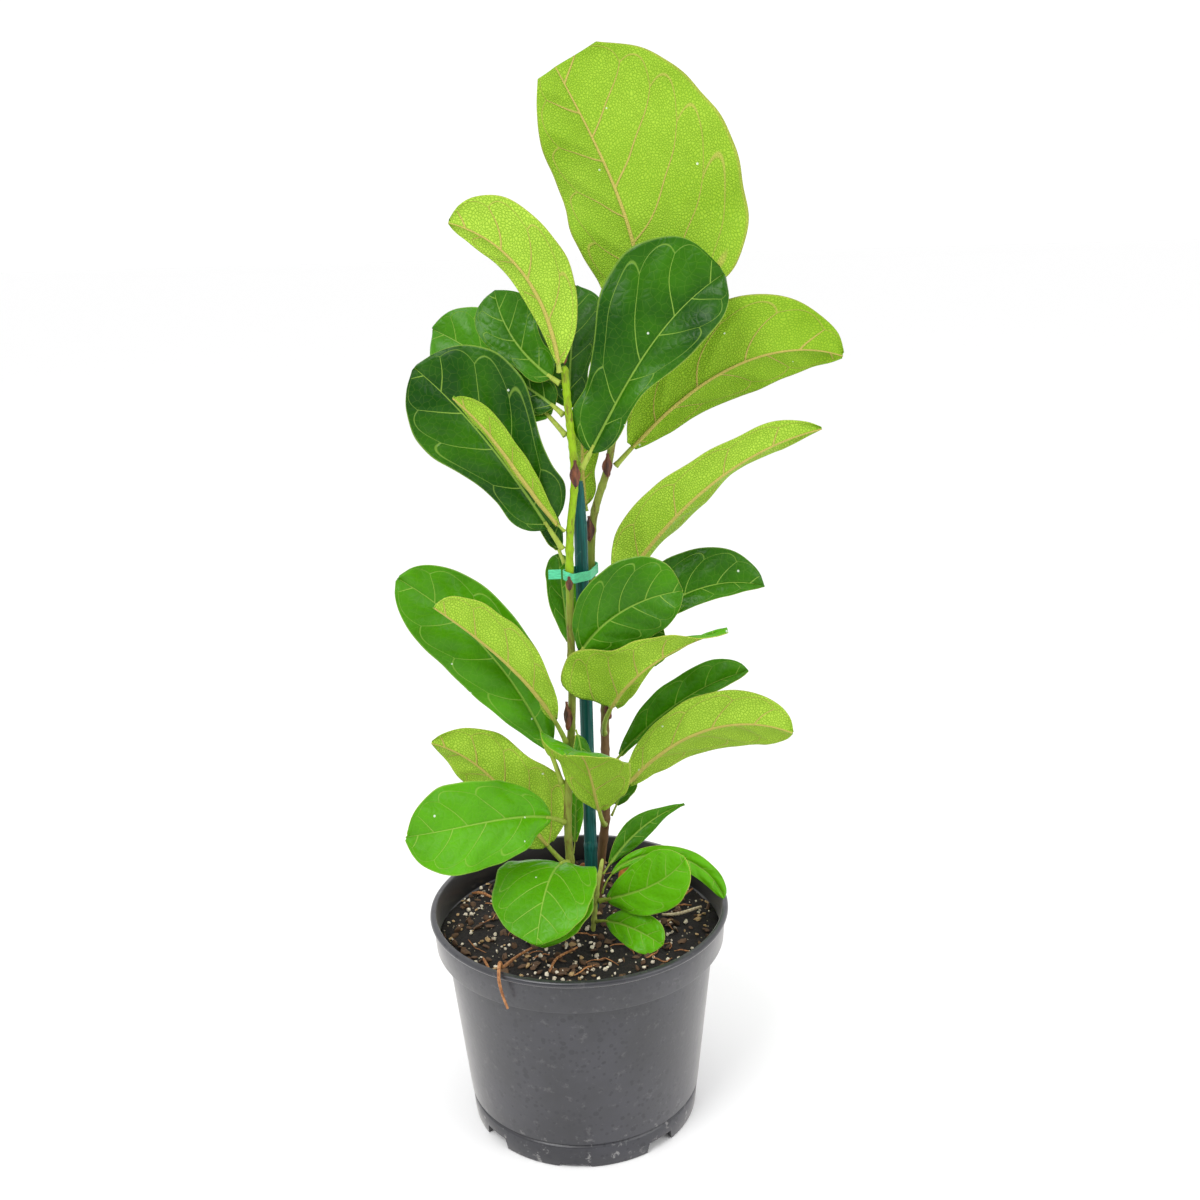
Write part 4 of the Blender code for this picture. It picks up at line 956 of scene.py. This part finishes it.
def scatter(name, count, sizes, rng, look, flatness, bury, keep=None, stretch=1.0):
    """Many loose grains on the soil joined in one piece."""
    verts, faces = [], []
    made = 0
    while made < count:
        radius = (SOIL_RADIUS - 0.003) * math.sqrt(rng.uniform(0, 1))
        angle = rng.uniform(0, math.tau)
        x, y = radius * math.cos(angle), radius * math.sin(angle)
        if keep and not keep(x, y, rng):
            continue
        size = rng.uniform(*sizes)
        centre = np.array((x, y, soil_height(x, y) + size * bury))
        grain_verts, grain_faces = rock(centre, size, rng, flatness * rng.uniform(0.7, 1.2))
        if stretch != 1.0:
            way = np.array((math.cos(angle * 7), math.sin(angle * 7), 0.0))
            grain_verts = [v + way * ((v - centre) @ way) * (stretch - 1) for v in grain_verts]
        offset = len(verts)
        verts += grain_verts
        faces += [tuple(offset + k for k in face) for face in grain_faces]
        made += 1
    piece = add_piece(name, verts, faces, [look], None, ())
    piece.data.set_sharp_from_angle(angle=math.radians(50))
    return piece


# ---------------------------------------------------------------- settings


def colour_property(name, description, default):
    return bpy.props.FloatVectorProperty(name=name, description=description, default=default, size=3,
                                         min=0.0, max=1.0, subtype="COLOR")


class FigLeafSettings(bpy.types.PropertyGroup):
    thickness: bpy.props.FloatProperty(name="Thickness", description="How thick a blade is", default=0.0007,
                                       min=0.0003, max=0.002, unit="LENGTH", precision=4)
    quilt: bpy.props.FloatProperty(name="Quilting", default=0.062, min=0.0, max=0.2, subtype="FACTOR",
                                   description="How far a blade puffs up between veins, over their distance")
    frill: bpy.props.FloatProperty(name="Frill", default=0.042, min=0.0, max=0.2, subtype="FACTOR",
                                   description="How wavy the margin is, as a share of the half width")
    top_dark: colour_property("Dark green", "Glossy side of the oldest leaves", (0.007, 0.055, 0.001))
    top_pale: colour_property("Fresh green", "Glossy side of the youngest leaves", (0.105, 0.400, 0.002))
    under_dark: colour_property("Dull underside", "Underside of the oldest leaves", (0.215, 0.395, 0.008))
    under_pale: colour_property("Fresh underside", "Underside of the youngest leaves", (0.420, 0.630, 0.062))
    under_deep: colour_property("Fine veins", "Fine net of the underside", (0.120, 0.280, 0.006))
    vein: colour_property("Veins", "Veins and margin of the glossy side", (0.300, 0.480, 0.070))
    under_vein: colour_property("Underside veins", "Ribs of the underside", (0.520, 0.400, 0.110))


class FigCaneSettings(bpy.types.PropertyGroup):
    green: colour_property("Young bark", "Bark near the top of a cane", (0.250, 0.430, 0.006))
    olive: colour_property("Old green bark", "Bark lower on the left cane", (0.210, 0.260, 0.035))
    brown: colour_property("Brown bark", "Bark at the foot of the right cane", (0.180, 0.100, 0.045))
    spots: colour_property("Bark spots", "Corky spots and cracks", (0.130, 0.060, 0.025))
    paint: colour_property("Stake paint", "Paint on the bamboo stake", (0.003, 0.060, 0.055))
    paint_pale: colour_property("Worn paint", "Paint along the fibres", (0.008, 0.120, 0.110))
    tape: colour_property("Tape", "The tie tape", (0.110, 0.640, 0.340))


class FigPotSettings(bpy.types.PropertyGroup):
    plastic: colour_property("Plastic", "The grow pot", (0.008, 0.008, 0.013))
    plastic_pale: colour_property("Worn plastic", "Scuffed and dried areas of the pot", (0.024, 0.024, 0.033))
    dust: colour_property("Dust", "Dust on the foot of the pot", (0.360, 0.350, 0.340))
    soil: colour_property("Soil", "The potting mix", (0.007, 0.006, 0.005))
    soil_pale: colour_property("Soil crumbs", "Paler crumbs of the mix", (0.020, 0.014, 0.010))
    perlite: bpy.props.IntProperty(name="Perlite", description="How many pale grains lie on the soil",
                                   default=330, min=0, max=1500)
    fine_roots: bpy.props.IntProperty(name="Fine roots", default=34, min=1, max=300,
                                      description="How many thin dry roots lie on the soil")
    chips: bpy.props.IntProperty(name="Bark chips", description="How many bark chips lie on the soil",
                                 default=300, min=0, max=2000)


class FigStageSettings(bpy.types.PropertyGroup):
    floor: colour_property("Floor", "Colour of the floor", (0.94, 0.94, 0.94))
    sky: bpy.props.FloatProperty(name="Sky", description="Strength of the even light", default=1.10,
                                 min=0.0, max=5.0)
    front_share: bpy.props.FloatProperty(name="Light from the front", default=0.40, min=0.0, max=1.0,
                                         description="Its share of the even light", subtype="FACTOR")
    key: bpy.props.FloatProperty(name="Key light", description="Power of the main soft light in watts",
                                 default=26.0, min=0.0, max=500.0)


# ---------------------------------------------------------------- operators


class FIG_OT_leaves(bpy.types.Operator):
    """Builds every leaf with its petiole, veins and wavy margin"""
    bl_idname = "fig.leaves"
    bl_label = "Leaves"

    def execute(self, context):
        settings = context.scene.fig_leaves
        stem = bark_material("petiole", (0.30, 0.40, 0.05), (0.34, 0.44, 0.06), 0.4, (0.16, 0.11, 0.03),
                             -0.04)
        looks = [leaf_top_material(settings), leaf_under_material(settings), stem]
        for name, cane, height, petiole, length, halves, turn, rise, roll, fold, outline, tone in LEAF_ROWS:
            leaf = Leaf(name, cane, height * MM + LIFT, petiole * MM, length * MM,
                        (halves[0] * MM, halves[1] * MM), turn, rise, roll, fold, outline, tone)
            make_blade(leaf, bark_point(leaf), looks, settings, (name,)).name = f"{name}_blade"
        return {"FINISHED"}


class FIG_OT_canes(bpy.types.Operator):
    """Builds the canes and the young shoot, with rings at and below each leaf"""
    bl_idname = "fig.canes"
    bl_label = "Canes"

    def execute(self, context):
        settings = context.scene.fig_canes
        green, olive, brown = tuple(settings.green), tuple(settings.olive), tuple(settings.brown)
        spots = tuple(settings.spots)
        looks = {
            "cane_left": bark_material("left_bark", olive, green, 0.47, spots, 0.06),
            "cane_right": bark_material("right_bark", brown, (0.25, 0.31, 0.05), 0.36, spots, 0.05),
            "shoot": bark_material("shoot_bark", (0.36, 0.44, 0.09), (0.42, 0.50, 0.10), 0.2, spots, -0.03),
        }
        for name, look in looks.items():
            points, radii = cane_shape(name, 260 if name != "shoot" else 60, 24)
            verts, faces = tube_mesh(points, radii, 24)
            add_piece(f"{name}_bark", verts, faces, [look], None, (name,))
        return {"FINISHED"}


class FIG_OT_sheaths(bpy.types.Operator):
    """Builds the terminal buds, the brown sheaths at the nodes and the dry husks on the soil"""
    bl_idname = "fig.sheaths"
    bl_label = "Sheaths and Husks"

    def execute(self, context):
        settings = context.scene.fig_leaves
        brown = papery_material("sheath_paper", (0.045, 0.012, 0.007), (0.20, 0.065, 0.028))
        rust = papery_material("husk_paper", (0.26, 0.075, 0.010), (0.66, 0.24, 0.045), 160.0)
        for sheath in SHEATHS:
            leaf = Leaf(sheath.name, sheath.cane, sheath.height + LIFT, 0.0015, sheath.length,
                        (sheath.width,) * 2, (sheath.turn,) * 3, (sheath.rise,) * 3, (0, 0, 0), CASE_FOLD,
                        "pointed", 0.5)
            piece = make_blade(leaf, bark_point(leaf), [brown] * 3, settings, (sheath.name,), 0.001)
            piece.name = f"{sheath.name}_scale"
        for husk in HUSKS:
            leaf = Leaf(husk.name, None, 0.0, 0.002, husk.length, (husk.width,) * 2, (husk.turn,) * 3,
                        (husk.rise, husk.rise, husk.rise - HUSK_BEND), (husk.roll,) * 3, CASE_FOLD,
                        "round", 0.5)
            start = np.array(husk.start) + (0.0, 0.0, LIFT)
            piece = make_blade(leaf, start, [rust] * 3, settings, (husk.name,), 0.001)
            piece.name = f"{husk.name}_scale"
        return {"FINISHED"}


class FIG_OT_soil(bpy.types.Operator):
    """Builds the crumbly top of the potting mix with its perlite and bark chips"""
    bl_idname = "fig.soil"
    bl_label = "Soil"

    def execute(self, context):
        settings = context.scene.fig_pot
        look = soil_material(settings)
        verts, faces = [], []
        for k in range(SOIL_RINGS + 1):
            radius = SOIL_RADIUS * k / SOIL_RINGS
            for i in range(SOIL_STEPS):
                angle = math.tau * i / SOIL_STEPS
                x, y = radius * math.cos(angle), radius * math.sin(angle)
                sunk = 0.0 if k < SOIL_RINGS else 0.0006
                crumbs = noise.fractal(Vector((x * 130, y * 130, 0.0)), 0.9, 2.1, 4)
                clods = noise.noise(Vector((x * 45, y * 45, 4.0)))
                verts.append((x, y, soil_height(x, y) + 0.0011 * crumbs + 0.0012 * clods - 0.0006 - sunk))
        for k in range(SOIL_RINGS):
            for i in range(SOIL_STEPS):
                j = (i + 1) % SOIL_STEPS
                inner, outer = k * SOIL_STEPS, (k + 1) * SOIL_STEPS
                faces.append((inner + i, outer + i, outer + j, inner + j))
        last = SOIL_RINGS * SOIL_STEPS
        low = len(verts)
        rim = verts[last:last + SOIL_STEPS]
        verts += [(SOIL_TUCK * x, SOIL_TUCK * y, SOIL_LEVEL - SOIL_DEPTH) for x, y, _ in rim]
        for i in range(SOIL_STEPS):
            j = (i + 1) % SOIL_STEPS
            faces.append((last + i, low + i, low + j, last + j))
        faces.append(tuple(low + i for i in reversed(range(SOIL_STEPS))))
        add_piece("soil_top", verts, faces, [look], None, ("soil",))
        rng = np.random.default_rng(11)
        pale = grain_material("perlite_grain", (0.78, 0.70, 0.55), (0.30, 0.22, 0.13))
        dark = grain_material("bark_chip", (0.11, 0.060, 0.030), (0.030, 0.018, 0.012))
        tan = grain_material("tan_chip", (0.45, 0.30, 0.14), (0.16, 0.09, 0.04))

        def more_in_front(x, y, rng):
            return rng.uniform(0, 1) < 0.35 + 5.0 * max(0.0, -y)

        scatter("perlite", settings.perlite, (0.0007, 0.0023), rng, pale, 0.8, 0.5, more_in_front)
        scatter("bark_chips", settings.chips, (0.0016, 0.0036), rng, dark, 0.45, 0.2, None, 1.5)
        scatter("tan_chips", settings.chips // 3, (0.0008, 0.0022), rng, tan, 0.5, 0.5, more_in_front, 1.8)
        return {"FINISHED"}


class FIG_OT_roots(bpy.types.Operator):
    """Builds the dry roots on the soil, the one over the rim and the splinter of bark"""
    bl_idname = "fig.roots"
    bl_label = "Roots"

    def execute(self, context):
        looks = {
            "root": papery_material("dry_root", (0.20, 0.070, 0.018), (0.52, 0.24, 0.09), 500.0, 0.7),
            "splinter": papery_material("bark_splinter", (0.42, 0.32, 0.18), (0.75, 0.66, 0.46), 500.0, 0.7),
        }
        for name, (radius, look, points) in LITTER.items():
            points = [(x * SPREAD, y * SPREAD, lift) for x, y, lift in points]
            path = smooth_path(points, 14 * len(points))
            middle = [(x, y, soil_height(x, y) + radius + 0.0009 + lift) for x, y, lift in path]
            share = np.linspace(0.15, 0.85, len(middle))
            radii = radius * (0.45 + 0.55 * np.sin(math.pi * share))
            radii = radii * (1 + 0.10 * np.sin(np.arange(len(middle)) * 1.9))
            verts, faces = tube_mesh(middle, radii, 10)
            add_piece(f"{name}_fibre", verts, faces, [looks[look]], None, (name,))
        rng = np.random.default_rng(7)
        all_verts, all_faces = [], []
        for _ in range(context.scene.fig_pot.fine_roots):
            radius, angle = 0.100 * math.sqrt(rng.uniform(0.05, 1)), rng.uniform(0, math.tau)
            spot = np.array((radius * math.cos(angle), radius * math.sin(angle)))
            way, bend = rng.uniform(0, math.tau), rng.uniform(-0.5, 0.5)
            length, thick = rng.uniform(0.012, 0.034), rng.uniform(0.00035, 0.0008)
            line = []
            for i in range(8):
                if math.hypot(*spot) > SOIL_RADIUS - 0.004:
                    break
                lift = 0.0022 * math.sin(math.pi * i / 7) * rng.uniform(0.2, 1)
                line.append((*spot, soil_height(*spot) + thick + 0.0004 + lift))
                spot = spot + length / 7 * np.array((math.cos(way), math.sin(way)))
                way += bend * rng.uniform(0.2, 1.6)
            if len(line) < 4:
                continue
            path = smooth_path(line, 6 * len(line))
            taper = thick * (0.35 + 0.65 * np.sin(math.pi * np.linspace(0.1, 0.9, len(path))))
            verts, faces = tube_mesh(path, taper, 7)
            all_faces += [tuple(len(all_verts) + k for k in face) for face in faces]
            all_verts += list(verts)
        add_piece("fine_roots", all_verts, all_faces, [looks["root"]], None, ())
        return {"FINISHED"}


class FIG_OT_pot(bpy.types.Operator):
    """Finishes the grow pot, the stake and the tie tape"""
    bl_idname = "fig.pot"
    bl_label = "Pot, Stake and Tape"

    def execute(self, context):
        cutter = add_object("pot_cutter", pot_cutters())
        rough = add_object("pot_rough", turned_mesh("pot_rough", pot_profile(), POT_STEPS))
        step = rough.modifiers.new("cut", "BOOLEAN")
        step.operation = "DIFFERENCE"
        step.object = cutter
        graph = context.evaluated_depsgraph_get()
        mesh = bpy.data.meshes.new_from_object(rough.evaluated_get(graph))
        for helper in (rough, cutter):
            bpy.data.objects.remove(helper, do_unlink=True)
        if not mesh.polygons:
            raise RuntimeError("The cut left nothing of the pot")
        mesh.name = "grow_pot"
        mesh.materials.clear()
        mesh.materials.append(pot_material(context.scene.fig_pot))
        mesh.shade_smooth()
        mesh.set_sharp_from_angle(angle=math.radians(38))
        pot = add_object("grow_pot", mesh)
        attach(pot, "root")
        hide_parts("pot")
        finishes = {"stake": bamboo_material(context.scene.fig_canes)}
        finishes["tie"] = finishes["tie_tail"] = tape_material(context.scene.fig_canes)
        for name, look in finishes.items():
            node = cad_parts[name]
            for slot in node.material_slots:
                slot.material = look
        return {"FINISHED"}


class FIG_OT_stage(bpy.types.Operator):
    """Sets the floor, the soft light and the camera"""
    bl_idname = "fig.stage"
    bl_label = "Stage"

    def execute(self, context):
        settings = context.scene.fig_stage
        mesh = bpy.data.meshes.new("floor")
        shape = bmesh.new()
        bmesh.ops.create_grid(shape, x_segments=2, y_segments=2, size=FLOOR_SIZE)
        shape.to_mesh(mesh)
        shape.free()
        look, tree, shader, where = new_material("floor_paint")
        tint = noise_value(tree, where, 3.0)
        pale = tuple(min(1.0, 1.01 * c) for c in settings.floor)
        plug_in(tree, shader.inputs["Base Color"], blend_colour(tree, tint, tuple(settings.floor), pale))
        shader.inputs["Roughness"].default_value = 0.9
        mesh.materials.append(look)
        floor = add_object("floor", mesh)
        floor.location = (0.0, 0.0, POT_LOW.z - FLOOR_GAP)
        world = bpy.data.worlds.new("studio")
        context.scene.world = world
        world.use_nodes = True
        sky = world.node_tree
        way = sky.nodes.new("ShaderNodeTexCoord").outputs["Generated"]
        split = new_node(sky, "ShaderNodeSeparateXYZ", Vector=way)
        # The even light is weaker low down in front
        front = ramp(sky, split.outputs[1], -0.80, 0.0, 1.0, 0.0)
        low = ramp(sky, split.outputs[2], 0.25, 0.65, 1.0, 0.0)
        lost = times(sky, times(sky, front, low), 1.0 - settings.front_share)
        glow = times(sky, math_node(sky, "SUBTRACT", 1.0, lost), settings.sky)
        plug_in(sky, sky.nodes["Background"].inputs[1], glow)
        plug_in(sky, sky.nodes["Background"].inputs[0], (1.0, 1.0, 1.0))
        for name, spot, size, power in (("key", (-0.9, -1.3, 2.0), 1.0, settings.key),
                                        ("fill", (1.6, -1.0, 1.2), 1.2, settings.key * FILL_SHARE)):
            light = bpy.data.lights.new(name, "AREA")
            light.size = size
            light.energy = power
            lamp = add_object(name, light)
            lamp.location = spot
            lamp.rotation_euler = (Vector(LIGHT_TARGET) - Vector(spot)).to_track_quat("-Z", "Y").to_euler()
        camera = bpy.data.cameras.new("camera")
        camera.sensor_width = 36.0
        camera.lens = CAMERA_LENS
        camera.clip_start = 0.01
        camera.clip_end = 100.0
        eye = add_object("camera", camera)
        pitch, roll = math.radians(CAMERA_PITCH), math.radians(CAMERA_ROLL)
        ahead = Vector((0.0, math.cos(pitch), -math.sin(pitch)))
        up = Vector((0.0, math.sin(pitch), math.cos(pitch)))
        right = Vector((1.0, 0.0, 0.0))
        axes = (math.cos(roll) * right + math.sin(roll) * up,
                math.cos(roll) * up - math.sin(roll) * right,
                -ahead)
        eye.matrix_world = Matrix.Translation(CAMERA_PLACE) @ Matrix(axes).transposed().to_4x4()
        context.scene.camera = eye
        context.scene.view_settings.view_transform = "Standard"
        return {"FINISHED"}


class FIG_PT_panel(bpy.types.Panel):
    """Lists the plant's pieces and their settings"""
    bl_label = "Fiddle Leaf Fig"
    bl_idname = "FIG_PT_panel"
    bl_space_type = "VIEW_3D"
    bl_region_type = "UI"
    bl_category = "Fig"

    def draw(self, context):
        for operator in OPERATORS:
            self.layout.operator(operator.bl_idname)
        for group in (context.scene.fig_leaves, context.scene.fig_canes, context.scene.fig_pot,
                      context.scene.fig_stage):
            box = self.layout.box()
            for key in group.__annotations__:
                box.prop(group, key)


OPERATORS = (FIG_OT_pot, FIG_OT_soil, FIG_OT_roots, FIG_OT_canes, FIG_OT_sheaths, FIG_OT_leaves, FIG_OT_stage)
GROUPS = {"fig_leaves": FigLeafSettings, "fig_canes": FigCaneSettings, "fig_pot": FigPotSettings,
          "fig_stage": FigStageSettings}


def register():
    for name, group in GROUPS.items():
        bpy.utils.register_class(group)
        setattr(bpy.types.Scene, name, bpy.props.PointerProperty(type=group))
    for made in (*OPERATORS, FIG_PT_panel):
        bpy.utils.register_class(made)


def unregister():
    for made in (FIG_PT_panel, *reversed(OPERATORS)):
        bpy.utils.unregister_class(made)
    for name, group in GROUPS.items():
        delattr(bpy.types.Scene, name)
        bpy.utils.unregister_class(group)


def main():
    register()
    bpy.ops.fig.pot()
    bpy.ops.fig.soil()
    bpy.ops.fig.roots()
    bpy.ops.fig.canes()
    bpy.ops.fig.sheaths()
    bpy.ops.fig.leaves()
    bpy.ops.fig.stage()


if __name__ == "__main__":
    main()
